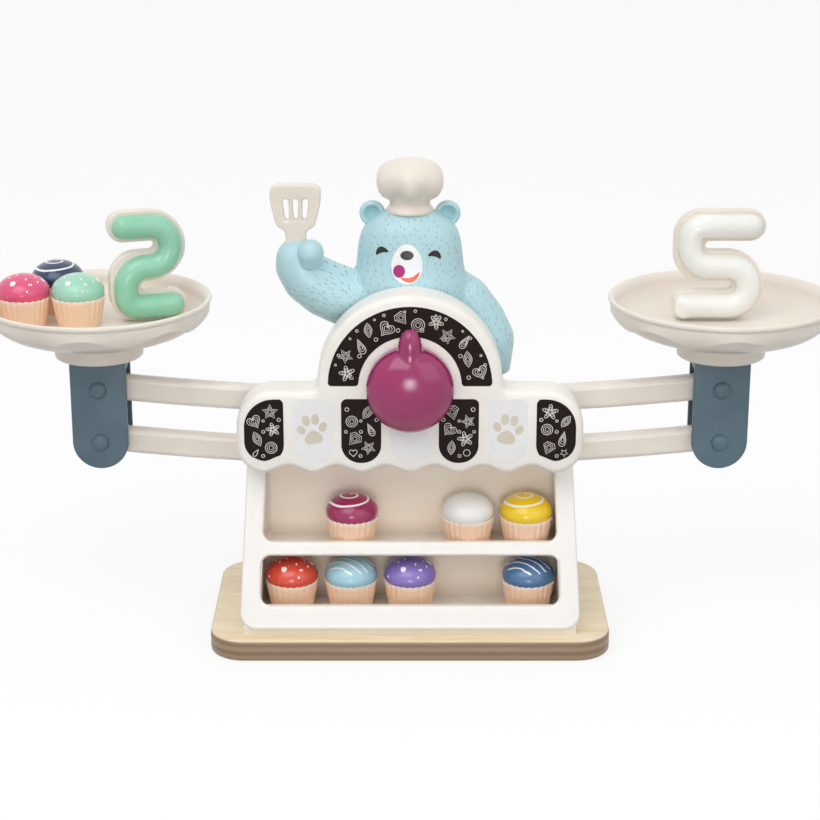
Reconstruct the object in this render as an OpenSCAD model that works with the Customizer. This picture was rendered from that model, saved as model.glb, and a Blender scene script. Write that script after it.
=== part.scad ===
// Toy balance scale: a cake-stall cabinet on a plywood board carries two parallel beams, so that
// both pans stay level while the pointer knob shows which side is heavier.
// X runs along the beams, Y from front to back, Z up. The origin is under the middle of the board.

/* [Base board] */
// Width of the plywood board
base_w = 272; // [264:1:300]
// Depth of the plywood board
base_d = 147; // [140:1:170]
// Thickness of the plywood board
base_t = 15; // [12:0.5:20]
// Radius of the board's corners
base_corner_r = 24; // [12:1:36]
// Round on the board's edges
base_edge_r = 2.5; // [1:0.5:4]

/* [Cabinet] */
// Width of the cabinet at the board
foot_w = 230; // [228:1:240]
// How far each side of the cabinet leans in at its top
crown_taper = 4.5; // [2:0.25:5.5]
// Depth of the cabinet and the rear cover at the board
foot_d = 127.8; // [127:0.2:132]
// Height of the cabinet above the board
cabinet_h = 116; // [113:1:124]
// Wall of the moulded shells
wall = 2.5; // [2:0.1:3]
// Height of the recessed plinth
plinth_h = 4.5; // [3:0.5:5]
// How far the plinth is set back
plinth_inset = 2.5; // [1:0.5:4]
// Radius of the lower corners above the plinth
frame_r = 9; // [6:1:12]
// Lean of the front from upright
lean = 23.75; // [22:0.25:25]
// Height of the cheeks' shoulders above the board
shoulder_h = 94; // [90:1:100]
// Round of the cheeks' shoulders
shoulder_r = 8; // [4:1:12]
// Width of each side post
post_w = 13; // [11:0.5:13.5]
// Corner radius of the shelf openings
opening_r = 5; // [3:0.5:8]
// Lower shelf floor above the board
floor_h = 7; // [6:0.5:9]
// Height of the lower lip above its floor
lower_lip_h = 12; // [9:0.5:14]
// Upper shelf floor above the lower floor
shelf_h = 43.5; // [42:0.5:47]
// Thickness of the upper shelf
shelf_t = 2.6; // [2:0.1:3]
// Height of the upper lip above its floor
upper_lip_h = 8; // [6:0.5:10]
// Thickness of the shelf lips
lip_t = 3.2; // [2.6:0.1:3.3]
// Distance of the lower back wall in front of the middle
lower_wall_back = 10; // [9:0.5:12]
// Distance of the upper back wall in front of the middle
upper_wall_back = 2; // [1.5:0.5:4]

/* [Rear cover] */
// Depth of the rear cover's top behind the middle
rear_top_back = 34; // [32:1:38]

/* [Awning] */
// How far each end of the awning stands past the cabinet's foot
awning_over = 0.5; // [0:0.5:4]
// Height of the awning's wings above the cabinet
awning_h = 51; // [49:1:56]
// Depth of the awning shell
awning_t = 25; // [22:1:28]
// How far the awning's face stands in front of the middle
awning_reach = 45; // [44:1:48]
// Wall of the awning shell
awning_wall = 3; // [2.5:0.1:3.5]
// Round on the awning's front edge
awning_edge_r = 4; // [2:0.5:5]
// Radius of the wings' upper corners
wing_r = 25; // [18:1:28]
// Number of scallops along the lower edge
scallops = 7; // [5:2:9]
// Height of the scallops
scallop_h = 5; // [3:0.5:7]
// Outer radius of the arch
arch_r = 61.5; // [58:0.5:64]
// Fillet between the arch and the wings
arch_fillet = 6; // [3:0.5:9]
// Height of the knob axis above the wings
axle_rise = 4; // [3:0.5:6]
// Outer radius of the dark dial band
band_r = 54.5; // [52:0.5:55]
// Inner radius of the dark dial band
band_in_r = 34; // [32:0.5:36]
// Gap between two awning panels
panel_gap = 5.6; // [4.6:0.2:8]
// Height of an awning panel
panel_h = 45; // [42:0.5:46]
// Thickness of the printed inlays
inlay_t = 1; // [0.8:0.1:1.5]
// Depth of the inlays' recesses
inlay_sunk = 0.8; // [0.5:0.1:0.8]

/* [Balance] */
// Distance between the two uprights' pivots
pivot_span = 424; // [410:2:440]
// Distance between the upper and lower pivots
pivot_spacing = 37.4; // [36.5:0.1:39]
// Drop of the end pivots below the middle pivots
pivot_drop = 15.2; // [14.5:0.1:17]
// Distance of the beams behind the middle of the board
beam_back = 8; // [8:0.5:9]
// Height of a beam's section
beam_h = 18; // [16:0.5:18.5]
// Thickness of a beam
beam_t = 11; // [9:0.5:11.5]
// How far the beams' middles hang below their ends
beam_sag = 11.9; // [9:0.1:13]
// Diameter of the axles
axle_d = 6; // [5:0.5:7]
// Diameter of the end pivot pins
pin_d = 5; // [4:0.5:6]
// Radial running clearance of pins and axles
run_clear = 0.05; // [0.02:0.01:0.1]

/* [Knob] */
// Radius of the pointer knob
knob_r = 29; // [26:0.5:30]
// Depth of the pointer knob
knob_t = 24; // [20:0.5:26]
// Height of the pointer's tip above the knob axis
pointer_reach = 42; // [38:0.5:44]
// Width of the pointer at its root
pointer_w = 16.4; // [12:0.2:17]

/* [Uprights and pans] */
// Width of an upright
upright_w = 38; // [34:1:42]
// Depth of an upright over both plates
upright_d = 29; // [28:0.5:34]
// Thickness of an upright's plates
plate_t = 3.5; // [3:0.1:4]
// Height of the upright's top above the upper pivot
upright_rise = 21; // [19:0.5:25]
// Outer diameter of a pan
pan_d = 155; // [150:1:160]
// Height of a pan from foot to rim
pan_h = 41; // [39:0.5:44]
// Depth of the pan from rim to floor
pan_depth = 18; // [16:0.5:19]
// Diameter of the pan's foot
foot_ring_d = 60; // [56:1:66]
// Wall of the pan
pan_wall = 3; // [2.5:0.1:3.5]
// Number of waves on the pan's skirt
pan_waves = 8; // [6:1:10]
// Height of the waves on the skirt
wave_h = 6; // [3:0.5:7]

/* [Loose pieces] */
// Diameter of a cupcake at the rim of its cup
cake_d = 36.5; // [34:0.5:36.5]
// Diameter of a cup at its foot
cup_foot_d = 29; // [26:0.5:29]
// Height of a cup
cup_h = 20; // [18:0.5:21]
// Height of the icing dome
icing_h = 15.5; // [13:0.5:17]
// Number of flutes around a cup
flutes = 24; // [16:1:30]
// Gap between the end cupcakes and the cabinet's posts
cake_gap = 1.5; // [1.2:0.1:4]
// Wall of a hollow cupcake
cup_wall = 2; // [1.5:0.1:2.5]
// Height of the numerals
digit_h = 76; // [70:1:80]
// Width of the numeral five
digit_w = 61; // [58:1:64]
// Width of the numeral two
two_w = 52; // [52:1:54]
// Stroke width of the numerals
digit_stroke = 20.5; // [18:0.5:22]
// Thickness of a numeral's back shell
digit_back_t = 9; // [8:0.5:11]
// Thickness of a numeral's coloured face
digit_face_t = 9; // [7:0.5:11]
// Width of the back shell's rim around the face
digit_lip = 2.5; // [1.5:0.1:3]
// Turn of the numeral two
two_turn = 18; // [14:1:20]

/* [Bear] */
// Height of the bear from its seat to its crown
bear_h = 111; // [106:1:116]
// Distance of the bear behind the middle
bear_back = 6; // [5:0.5:8]
// Height of the chef's hat
hat_h = 39; // [34:1:44]
// Radius of the hat's crown
hat_r = 23.4; // [20:0.2:25]
// Width of the spatula's blade
blade_w = 34; // [28:1:38]
// Height of the spatula's blade
blade_h = 30; // [26:1:34]
// Thickness of the spatula
blade_t = 5; // [4:0.5:6]

/* [Hidden] */
$fn = 48;
// Overrun of cuts past the faces they open
over = 1;
// Gap between pieces that only lie against each other
seat_gap = 0.3;
// Gap around a plate in its recess
inlay_gap = 0.15;
// Steps of a rounded edge, and facets of the blended forms
edge_steps = 4;
blob_fn = 26;
round_fn = 16;
arc_fn = 1080;
curve_steps = 8;

// Heights
board_z = base_t;
cab_top = board_z + cabinet_h;
awning_top = cab_top + awning_h;
axle_z = awning_top + axle_rise;
lower_axle_z = axle_z - pivot_spacing;
end_upper_z = axle_z - pivot_drop;
end_lower_z = end_upper_z - pivot_spacing;
pan_z = end_upper_z + upright_rise;
pan_floor_z = pan_z + pan_h - pan_depth;
bar_z = board_z + plinth_h;
floor_z = board_z + floor_h;
shelf_z = floor_z + shelf_h;
shoulder_z = board_z + shoulder_h;

// Depths
front_y = -foot_d / 2;
rear_y = foot_d / 2;
upper_wall_y = -upper_wall_back;
lower_wall_y = -lower_wall_back;
face_y = -awning_reach;
awning_back_y = face_y + awning_t;
panel_back_y = upper_wall_y + wall;
rear_tower_y = 2 * beam_back - panel_back_y;
function lean_y(z) = front_y + (z - bar_z) * tan(lean);

// Widths
crown_w = foot_w - 2 * crown_taper;
awning_w = foot_w + 2 * awning_over;
side_wall = wall + plinth_inset;
function cab_half(z) = foot_w / 2 - crown_taper * (z - board_z) / cabinet_h;

// Beams
pivot_x = pivot_span / 2;
beam_arc_r = (pow(pivot_x, 2) + pow(beam_sag, 2)) / (2 * beam_sag);
beam_arc = asin(pivot_x / beam_arc_r);
beam_edge_r = beam_t * 0.35;
axle_r = axle_d / 2;
pin_r = pin_d / 2;
max_tilt = 7;
eye_r = beam_h / 2 + plate_t / 4;
hub_r = axle_r + 2 * wall;
lower_hub_r = axle_r + wall + wall / 2;
hub_gap = 1.5;
upper_hub_len = rear_tower_y - panel_back_y - 2 * hub_gap;
lower_hub_len = rear_tower_y - panel_back_y - 2 * seat_gap;
swing = pivot_spacing * sin(max_tilt);
notch_r = lower_hub_r + swing + hub_gap / 2;
channel_gap = 1.5;
channel_y = beam_back - beam_t / 2 - channel_gap;
notch_z = end_lower_z - beam_sag * 0.75 - crown_w / 2 * sin(max_tilt) - beam_h / 2 - channel_gap;

// Tower and bearings
tower_half_w = arch_r * 0.65;
bush_r = axle_r + wall;
bush_flange_r = bush_r + wall;
bush_flange_t = hub_gap - seat_gap;
lug_r = bush_flange_r + wall;
rear_lug_t = awning_t / 2;
box_half_w = crown_w / 2 - 2 * wall;
box_h = awning_h * 0.57;
clip_t = wall / 2;

// Screws
screw_r = 1.5;
screw_head_r = 3;
screw_head_t = 2;
screw_len = 12;
boss_r = screw_head_r + wall / 2;
screw_clear = 0.1;
base_screw_x = foot_w * 0.39;
base_screw_front_y = front_y * 0.6;
base_screw_back_y = rear_y * 0.62;
cover_screw_x = foot_w * 0.385;
cover_screw_zs = [board_z + cabinet_h * 0.2, board_z + cabinet_h * 0.58];
awning_screw_places = [[awning_w * 0.39, 0.33], [awning_w * 0.2, 0.33]];

// Pans
pan_r = pan_d / 2;
rim_bead = pan_wall / 2;
bowl_r = pan_r - rim_bead;
bowl_z = pan_h - pan_wall * 1.5;
foot_r = foot_ring_d / 2;
bowl_low = pan_h * 0.28;
skirt_step = 1.2;
skirt_low = pan_h * 0.61;
boss_in_r = foot_r * 0.45;
function bowl_share(z, inset) = (bowl_z - z) / (bowl_z - bowl_low - inset);
function bowl_at(z, inset) =
    foot_r + (bowl_r - foot_r - inset) * sqrt(max(0, 1 - pow(bowl_share(z, inset), 2)));
dish_top = pan_h - pan_depth;
dish_low = dish_top - pan_wall;
pan_floor_r = bowl_at(dish_top, skirt_step) - pan_wall;
wave_half_w = pan_r * sin(180 / pan_waves) * 0.7;
wave_r = (pow(wave_half_w, 2) + pow(wave_h, 2)) / (2 * wave_h);

// Digits
digit_gap = (digit_h - 3 * digit_stroke) / 2;
digit_turn_r = digit_stroke + digit_gap / 2;
digit_corner_r = digit_stroke * 0.9;
digit_edge_r = digit_face_t * 0.75;
ballast_wall = 1.5;

// Cupcakes: name, colour, place on the shelves or in the left pan
spigot_r = cake_d * 0.4;
spigot_h = 3;
upper_cake_y = upper_wall_y - cake_d / 2 - seat_gap;
lower_cake_y = lower_wall_y - cake_d / 2 - seat_gap;
pan_cake_shares = [[-0.757, -0.094], [-0.485, 0.493], [-0.184, -0.078]];
function in_pan(shares) =
    [-pivot_x + shares[0] * pan_floor_r, beam_back + shares[1] * pan_floor_r, pan_floor_z];
function row_pitch(shelf) = (2 * (cab_half(shelf + cup_h) - post_w - cake_gap) - cake_d) / 4;
cake_pitch = row_pitch(floor_z);
upper_cake_pitch = row_pitch(shelf_z);
cakes = [
    ["pink", "hotpink", in_pan(pan_cake_shares[0])],
    ["navy", "midnightblue", in_pan(pan_cake_shares[1])],
    ["mint", "aquamarine", in_pan(pan_cake_shares[2])],
    ["red", "tomato", [-2 * cake_pitch, lower_cake_y, floor_z]],
    ["sky", "lightblue", [-cake_pitch, lower_cake_y, floor_z]],
    ["purple", "mediumpurple", [0, lower_cake_y, floor_z]],
    ["blue", "steelblue", [2 * cake_pitch, lower_cake_y, floor_z]],
    ["magenta", "mediumvioletred", [-upper_cake_pitch, upper_cake_y, shelf_z]],
    ["white", "white", [upper_cake_pitch, upper_cake_y, shelf_z]],
    ["yellow", "gold", [2 * upper_cake_pitch, upper_cake_y, shelf_z]]
];

// Bear: centre x, y, z and radii x, y, z of each swelling, as shares of its height
head_shares = [0, -0.02, 0.725, 0.315, 0.24, 0.275];
cheek_shares = [0, -0.01, 0.55, 0.345, 0.245, 0.21];
chest_shares = [0, 0, 0.33, 0.45, 0.235, 0.25];
belly_shares = [0, 0, 0.1, 0.52, 0.23, 0.18];
upper_arm_shares = [0.33, 0, 0.43, 0.18, 0.2, 0.2];
forearm_shares = [0.432, 0, 0.2, 0.194, 0.2, 0.25];
shoulder_shares = [-0.37, 0, 0.37, 0.19, 0.2, 0.18];
elbow_shares = [-0.595, -0.02, 0.5, 0.155, 0.155, 0.155];
paw_shares = [-0.685, -0.04, 0.685, 0.135, 0.135, 0.135];
thumb_shares = [-0.6, -0.15, 0.76, 0.085, 0.075, 0.085];
ear_shares = [0.212, 0.02, 0.985, 0.085, 0.06, 0.085];
bear_z = awning_top;
hat_seat_z = bear_z + bear_h * 0.965;
hat_rim_r = hat_r * 0.7;
stem_w = blade_w * 0.41;
paw_x = paw_shares[0] * bear_h;
paw_y = bear_back + paw_shares[1] * bear_h;
paw_top_z = bear_z + (paw_shares[2] + paw_shares[5]) * bear_h;
stem_sunk = paw_shares[5] * bear_h * 0.6;

stand_nodes = [
    "base_board", "base_screws", "cabinet", "rear_cover", "cover_screws", "awning", "awning_screws",
    "arch_inlay", "outer_inlays", "inner_inlays", "paw_inlays", "centre_inlay", "bear_body", "chef_hat",
    "spatula", "front_bush", "rear_bush", "lower_axle"
];
beam_nodes = ["upper_beam", "upper_axle", "pointer_knob", "axle_clip", "lower_beam"];
carrier_nodes = [for (s = ["left", "right"], p = ["upright", "pivot_pins", "pan", "pan_base", "pan_screws"])
    str(s, "_", p)];
digit_nodes = [for (d = ["two", "five"], p = ["back", "face", "ballast"]) str(d, "_", p)];
cake_nodes = [for (c = cakes, p = ["cup", "icing"]) str(c[0], "_", p)];

// Extrudes a front view, drawn in X and Z, from depth y0 to y1
module along_y(y0, y1) {
    translate([0, y1, 0]) rotate([90, 0, 0]) linear_extrude(height = y1 - y0) children();
}

// Extrudes a side view, drawn in Y and Z, from x0 to x1
module along_x(x0, x1) {
    translate([x0, 0, 0]) rotate([90, 0, 90]) linear_extrude(height = x1 - x0) children();
}

// Lays a cylinder along Y, from y0 to y1 at height z
module rod_y(x, z, r, y0, y1) {
    translate([x, y1, z]) rotate([90, 0, 0]) cylinder(r = r, h = y1 - y0);
}

// Turns a profile about an axis along Y through x and z; its second coordinate runs to the front from y
module turned_y(x, y, z) {
    translate([x, y, z]) rotate([90, 0, 0]) rotate_extrude() children();
}

// Stacks slices of an outline so that the upper edge is rounded
module eased(height, edge_r) {
    for (i = [0 : edge_steps])
        let (a = 90 * i / edge_steps)
            linear_extrude(height = height - edge_r * (1 - cos(a)))
                offset(delta = -edge_r * (1 - sin(a))) children();
}

// Countersunk screw, point up, with the top of its head's flat face at the origin
module screw(length) {
    cylinder(r = screw_r, h = length);
    cylinder(r1 = screw_head_r, r2 = screw_r, h = screw_head_t);
}

// Room for a screw
module screw_hole(length) {
    cylinder(r = screw_r + screw_clear, h = length + screw_clear);
    cylinder(r1 = screw_head_r + screw_clear, r2 = screw_r + screw_clear, h = screw_head_t);
}

function base_screw_places() = [for (sx = [-1, 1], y = [base_screw_front_y, base_screw_back_y])
    [sx * base_screw_x, y]];
function cover_screw_places() = [for (sx = [-1, 1], z = cover_screw_zs) [sx * cover_screw_x, z]];
function wall_y(z) = z > shelf_z ? upper_wall_y : lower_wall_y;
function awning_screws_at() = [for (sx = [-1, 1], p = awning_screw_places)
    [sx * p[0], cab_top + p[1] * awning_h]];

// Plywood board with rounded corners and eased edges
module board_outline() {
    offset(r = base_corner_r)
        square([base_w - 2 * base_corner_r, base_d - 2 * base_corner_r], center = true);
}

module base_board() color("burlywood") difference() {
    union() {
        translate([0, 0, base_t / 2]) eased(base_t / 2, base_edge_r) board_outline();
        translate([0, 0, base_t / 2]) mirror([0, 0, 1]) eased(base_t / 2, base_edge_r) board_outline();
    }
    for (p = base_screw_places()) translate([p[0], p[1], 0]) {
        screw_hole(base_t + over);
        translate([0, 0, -over]) cylinder(r = screw_head_r + screw_clear, h = over);
    }
}

module base_screws() color("silver") {
    for (p = base_screw_places()) translate([p[0], p[1], 0]) screw(base_t + screw_len / 2);
}

// Front view of the cabinet, narrowing towards the top
module cabinet_front(inset, z0, z1) {
    polygon([
        [-cab_half(z0) + inset, z0], [cab_half(z0) - inset, z0],
        [cab_half(z1) - inset, z1], [-cab_half(z1) + inset, z1]
    ]);
}

// Side view of the cheeks: recessed plinth, leaning front edge and rounded shoulder
module cheek_side() {
    translate([front_y + plinth_inset, board_z])
        square([beam_back - front_y - plinth_inset, plinth_h + over]);
    intersection() {
        offset(r = shoulder_r) offset(delta = -shoulder_r) polygon([
            [front_y, bar_z], [lean_y(shoulder_z), shoulder_z],
            [beam_back + foot_d, shoulder_z], [beam_back + foot_d, bar_z]
        ]);
        translate([front_y, board_z]) square([beam_back - front_y, cabinet_h]);
    }
    translate([upper_wall_y, board_z]) square([beam_back - upper_wall_y, cabinet_h]);
}

// Side views of the two display rooms, each open to the front above its lip
module upper_room_side() {
    lip_y = lean_y(shelf_z + upper_lip_h) + lip_t;
    translate([lip_y, shelf_z]) square([upper_wall_y - lip_y, upper_lip_h]);
    translate([front_y - over, shelf_z + upper_lip_h])
        square([upper_wall_y - front_y + over, cab_top - shelf_z - upper_lip_h + over]);
}

module lower_room_side() {
    lip_y = lean_y(floor_z + lower_lip_h) + lip_t;
    ceiling_z = shelf_z - shelf_t;
    bar_low_z = ceiling_z + shelf_t;
    polygon([
        [lip_y, floor_z], [lower_wall_y, floor_z], [lower_wall_y, ceiling_z],
        [lean_y(ceiling_z) + 2 * lip_t, ceiling_z], [lean_y(bar_low_z), bar_low_z],
        [front_y - over, bar_low_z], [front_y - over, floor_z + lower_lip_h],
        [lip_y, floor_z + lower_lip_h]
    ]);
}

module rounded_front() {
    offset(r = frame_r) offset(delta = -frame_r) cabinet_front(0, bar_z, cab_top + 2 * frame_r);
    cabinet_front(plinth_inset, board_z, bar_z + 2 * frame_r);
}

module room_front(z0, z1) {
    offset(r = opening_r) offset(delta = -opening_r) cabinet_front(post_w, z0, z1);
}

// Hollow behind the display walls, open to the rear and, above it, to the beams
module cabinet_hollow() {
    intersection() {
        along_x(-foot_w / 2, foot_w / 2) {
            translate([lower_wall_y + wall, board_z + wall])
                square([beam_back - lower_wall_y, shelf_z - shelf_t - board_z - wall]);
            translate([panel_back_y, board_z + wall])
                square([beam_back - panel_back_y + over, cabinet_h]);
        }
        along_y(lower_wall_y, beam_back + over) cabinet_front(side_wall, board_z, cab_top + over);
    }
    along_x(-foot_w / 2, foot_w / 2)
        translate([channel_y, notch_z]) square([beam_back - channel_y + over, cab_top - notch_z + over]);
}

// Bearing tower and the box behind the awning, both open to the front
module front_tower() {
    along_y(upper_wall_y, panel_back_y) {
        translate([-box_half_w, cab_top - wall]) square([2 * box_half_w, box_h + wall]);
        translate([-tower_half_w, cab_top]) square([2 * tower_half_w, awning_h]);
    }
    along_y(awning_back_y, panel_back_y) difference() {
        union() {
            translate([-box_half_w, cab_top - wall]) square([2 * box_half_w, box_h + wall]);
            translate([-tower_half_w, cab_top]) square([2 * tower_half_w, awning_h]);
        }
        offset(delta = -wall) union() {
            translate([-box_half_w, cab_top - wall]) square([2 * box_half_w, box_h + wall]);
            translate([-tower_half_w, cab_top]) square([2 * tower_half_w, awning_h]);
        }
    }
    rod_y(0, axle_z, lug_r, awning_back_y, panel_back_y);
    along_y(awning_back_y, panel_back_y)
        translate([-lug_r, awning_top - lug_r]) square([2 * lug_r, axle_z - awning_top + lug_r]);
    rod_y(0, lower_axle_z, lower_hub_r, awning_back_y, panel_back_y);
    for (p = awning_screws_at()) rod_y(p[0], p[1], boss_r, awning_back_y, panel_back_y);
}

module cabinet() color("linen") difference() {
    union() {
        difference() {
            intersection() {
                along_x(-foot_w / 2, foot_w / 2) cheek_side();
                along_y(front_y - over, beam_back + over)
                    rounded_front();
                translate([-foot_w / 2, front_y, board_z]) cube([foot_w, foot_d, cabinet_h]);
            }
            intersection() {
                along_x(-foot_w / 2, foot_w / 2) upper_room_side();
                along_y(front_y - over, upper_wall_y) room_front(shelf_z, cab_top + 2 * opening_r);
            }
            intersection() {
                along_x(-foot_w / 2, foot_w / 2) lower_room_side();
                along_y(front_y - over, lower_wall_y) room_front(floor_z, shelf_z);
            }
            cabinet_hollow();
        }
        front_tower();
        for (p = cover_screw_places()) rod_y(p[0], p[1], boss_r, wall_y(p[1]) + wall / 2, beam_back);
    }
    rod_y(0, axle_z, bush_r + run_clear, awning_back_y - over, panel_back_y + over);
    rod_y(0, lower_axle_z, axle_r + run_clear, awning_back_y + wall, panel_back_y + over);
    for (p = cover_screw_places())
        rod_y(p[0], p[1], screw_r + screw_clear, beam_back - screw_len, beam_back + over);
    for (p = awning_screws_at()) translate([p[0], panel_back_y, p[1]]) rotate([90, 0, 0])
        screw_hole(panel_back_y - awning_back_y + over);
    for (p = base_screw_places()) if (p[1] < 0) translate([p[0], p[1], -over])
        cylinder(r = screw_r + screw_clear, h = base_t + screw_len / 2 + over + screw_clear);
}

// Side view of the rear cover
module rear_side(inset) {
    polygon([
        [beam_back - over * sign(inset), board_z + inset],
        [rear_y - plinth_inset - inset, board_z + inset],
        [rear_y - plinth_inset - inset, bar_z],
        [rear_y - inset, bar_z + inset],
        [rear_top_back - inset, cab_top - inset],
        [beam_back - over * sign(inset), cab_top - inset]
    ]);
}

// Rear bearing tower on the cover's top
module rear_tower() {
    along_y(rear_tower_y, rear_tower_y + rear_lug_t)
        translate([-tower_half_w, notch_z]) square([2 * tower_half_w, awning_top - notch_z]);
    rod_y(0, axle_z, lug_r, rear_tower_y, rear_tower_y + rear_lug_t);
    along_y(rear_tower_y, rear_tower_y + rear_lug_t)
        translate([-lug_r, awning_top - lug_r]) square([2 * lug_r, axle_z - awning_top + lug_r]);
}

module rear_cover() color("linen") difference() {
    union() {
        difference() {
            intersection() {
                along_x(-foot_w / 2, foot_w / 2) rear_side(0);
                along_y(beam_back, rear_y + over)
                    rounded_front();
                translate([-foot_w / 2, beam_back, board_z]) cube([foot_w, foot_d, cabinet_h]);
            }
            intersection() {
                along_x(-foot_w / 2, foot_w / 2) rear_side(wall);
                along_y(beam_back - over, rear_y) cabinet_front(side_wall, board_z, cab_top);
            }
            along_x(-foot_w / 2, foot_w / 2) translate([beam_back - over, notch_z])
                square([rear_tower_y - beam_back + over, cab_top - notch_z + over]);
        }
        intersection() {
            along_x(-foot_w / 2, foot_w / 2)
                translate([rear_tower_y, notch_z]) square([wall, cab_top - notch_z]);
            along_y(beam_back, rear_y) cabinet_front(wall / 2, board_z, cab_top);
        }
        rear_tower();
        intersection() {
            union() {
                for (p = cover_screw_places()) rod_y(p[0], p[1], boss_r + wall / 2, beam_back, rear_y);
                for (p = base_screw_places()) if (p[1] > 0) translate([p[0], p[1], board_z])
                    cylinder(r = boss_r, h = screw_len);
            }
            along_x(-foot_w / 2, foot_w / 2) rear_side(0);
        }
    }
    rod_y(0, axle_z, bush_r + run_clear, rear_tower_y - over, rear_tower_y + rear_lug_t + over);
    rod_y(0, lower_axle_z, axle_r + run_clear, rear_tower_y - over, rear_tower_y + rear_lug_t - wall);
    for (p = cover_screw_places()) {
        rod_y(p[0], p[1], screw_r + screw_clear, beam_back - over, rear_y);
        rod_y(p[0], p[1], screw_head_r + screw_clear, beam_back + screw_len / 2, rear_y + over);
    }
    for (p = base_screw_places()) if (p[1] > 0) translate([p[0], p[1], -over])
        cylinder(r = screw_r + screw_clear, h = base_t + screw_len / 2 + over + screw_clear);
}

module cover_screws() color("silver") {
    for (p = cover_screw_places()) {
        rod_y(p[0], p[1], screw_r, beam_back - screw_len / 2, beam_back + screw_len / 2 + screw_head_t);
        rod_y(p[0], p[1], screw_head_r, beam_back + screw_len / 2, beam_back + screw_len / 2 + screw_head_t);
    }
}

// Outline of the awning: wavy lower edge, rounded wings and the arch round the knob
scallop_w = (awning_w - awning_edge_r) / scallops;
function scallop_z(x) = cab_top - scallop_h / 2 * cos(360 * x / scallop_w) + scallop_h / 2 - wall;
wave_points = [for (i = [-5 * scallops : 5 * scallops]) let (x = i / 10 * scallop_w) [x, scallop_z(x)]];
module awning_outline() {
    offset(r = -arch_fillet) offset(delta = arch_fillet) union() {
        intersection() {
            polygon(concat(wave_points, [[awning_w, awning_top], [-awning_w, awning_top]]));
            upper_wing_outline();
            wing_outline();
        }
        translate([0, axle_z]) circle(r = arch_r, $fn = 72);
    }
}

// The wings' lower corners are tighter than their upper ones
wing_low_r = wing_r * 0.75;
wing_low_z = cab_top - wall;
module wing_outline() {
    translate([0, (wing_low_z + awning_top) / 2]) offset(r = wing_low_r)
        square([awning_w - 2 * wing_low_r, awning_top - wing_low_z - 2 * wing_low_r], center = true);
}

module upper_wing_outline() {
    translate([0, awning_top - awning_h]) offset(r = wing_r)
        square([awning_w - 2 * wing_r, 2 * (awning_h - wing_r)], center = true);
}

// Outlines of the printed plates
panel_pitch = scallop_w;
panel_w = panel_pitch - panel_gap;
panel_z = cab_top + scallop_h / 2 - wall / 2;
module panel_outline() {
    translate([0, panel_z + panel_h / 2]) intersection() {
        offset(r = panel_w * 0.15) square([panel_w * 0.7, panel_h - panel_w * 0.3], center = true);
        translate([0, panel_w]) offset(r = panel_w * 0.48)
            square([panel_w * 0.04, panel_h + 2 * panel_w - panel_w * 0.96], center = true);
    }
}

module arch_band() {
    offset(r = wall) offset(delta = -wall) difference() {
        translate([0, axle_z]) circle(r = band_r, $fn = 96);
        translate([0, axle_z]) circle(r = band_in_r, $fn = 72);
        translate([-arch_r, axle_z - 2 * arch_r]) square([2 * arch_r, 2 * arch_r]);
    }
}

// Places the plates of one kind along the awning
module panels(places) {
    for (i = places) translate([i * panel_pitch, 0]) children();
}

module outer_outline(side) {
    intersection() {
        translate([side * 3 * panel_pitch, 0]) panel_outline();
        offset(delta = -awning_wall - awning_edge_r / 2) awning_outline();
    }
}

module plate(sunk_gap) {
    along_y(face_y - inlay_t + inlay_sunk, face_y + inlay_sunk) offset(delta = -sunk_gap) children();
}

module knob_relief() {
    translate([0, axle_z]) circle(r = knob_r * 0.5);
}

module inlay_cut() {
    along_y(face_y - over, face_y + inlay_sunk) {
        arch_band();
        panels([-2, -1, 1, 2]) panel_outline();
        difference() {
            panel_outline();
            knob_relief();
        }
        for (s = [-1, 1]) outer_outline(s);
    }
}

module awning() color("seashell") difference() {
    union() {
        difference() {
            translate([0, awning_back_y, 0]) rotate([90, 0, 0])
                eased(awning_t, awning_edge_r) awning_outline();
            along_y(face_y + awning_wall, awning_back_y + over)
                offset(delta = -awning_wall) awning_outline();
        }
        rod_y(0, axle_z, lug_r, face_y + awning_wall / 2, awning_back_y);
        for (p = awning_screws_at()) rod_y(p[0], p[1], boss_r, face_y + awning_wall / 2, awning_back_y);
    }
    rod_y(0, axle_z, axle_r + seat_gap, face_y - over, awning_back_y + over);
    for (p = awning_screws_at())
        rod_y(p[0], p[1], screw_r + screw_clear, awning_back_y - screw_len, awning_back_y + over);
    inlay_cut();
}

module awning_screws() color("silver") {
    for (p = awning_screws_at()) translate([p[0], panel_back_y, p[1]]) rotate([90, 0, 0])
        screw(panel_back_y - awning_back_y + screw_len - over);
}

module arch_inlay() color("sienna") plate(inlay_gap) arch_band();
module outer_inlays() color("sienna") plate(inlay_gap) for (s = [-1, 1]) outer_outline(s);
module inner_inlays() color("sienna") plate(inlay_gap) panels([-1, 1]) panel_outline();
module paw_inlays() color("white") plate(inlay_gap) panels([-2, 2]) panel_outline();
module centre_inlay() color("white") plate(inlay_gap) difference() {
    panel_outline();
    knob_relief();
}

// One swelling of the bear
module blob(s) {
    translate([s[0] * bear_h, bear_back + s[1] * bear_h, bear_z + s[2] * bear_h])
        scale([s[3] * bear_h, s[4] * bear_h, s[5] * bear_h]) sphere(r = 1, $fn = blob_fn);
}

module limb(a, b) {
    hull() {
        blob(a);
        blob(b);
    }
}

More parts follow.
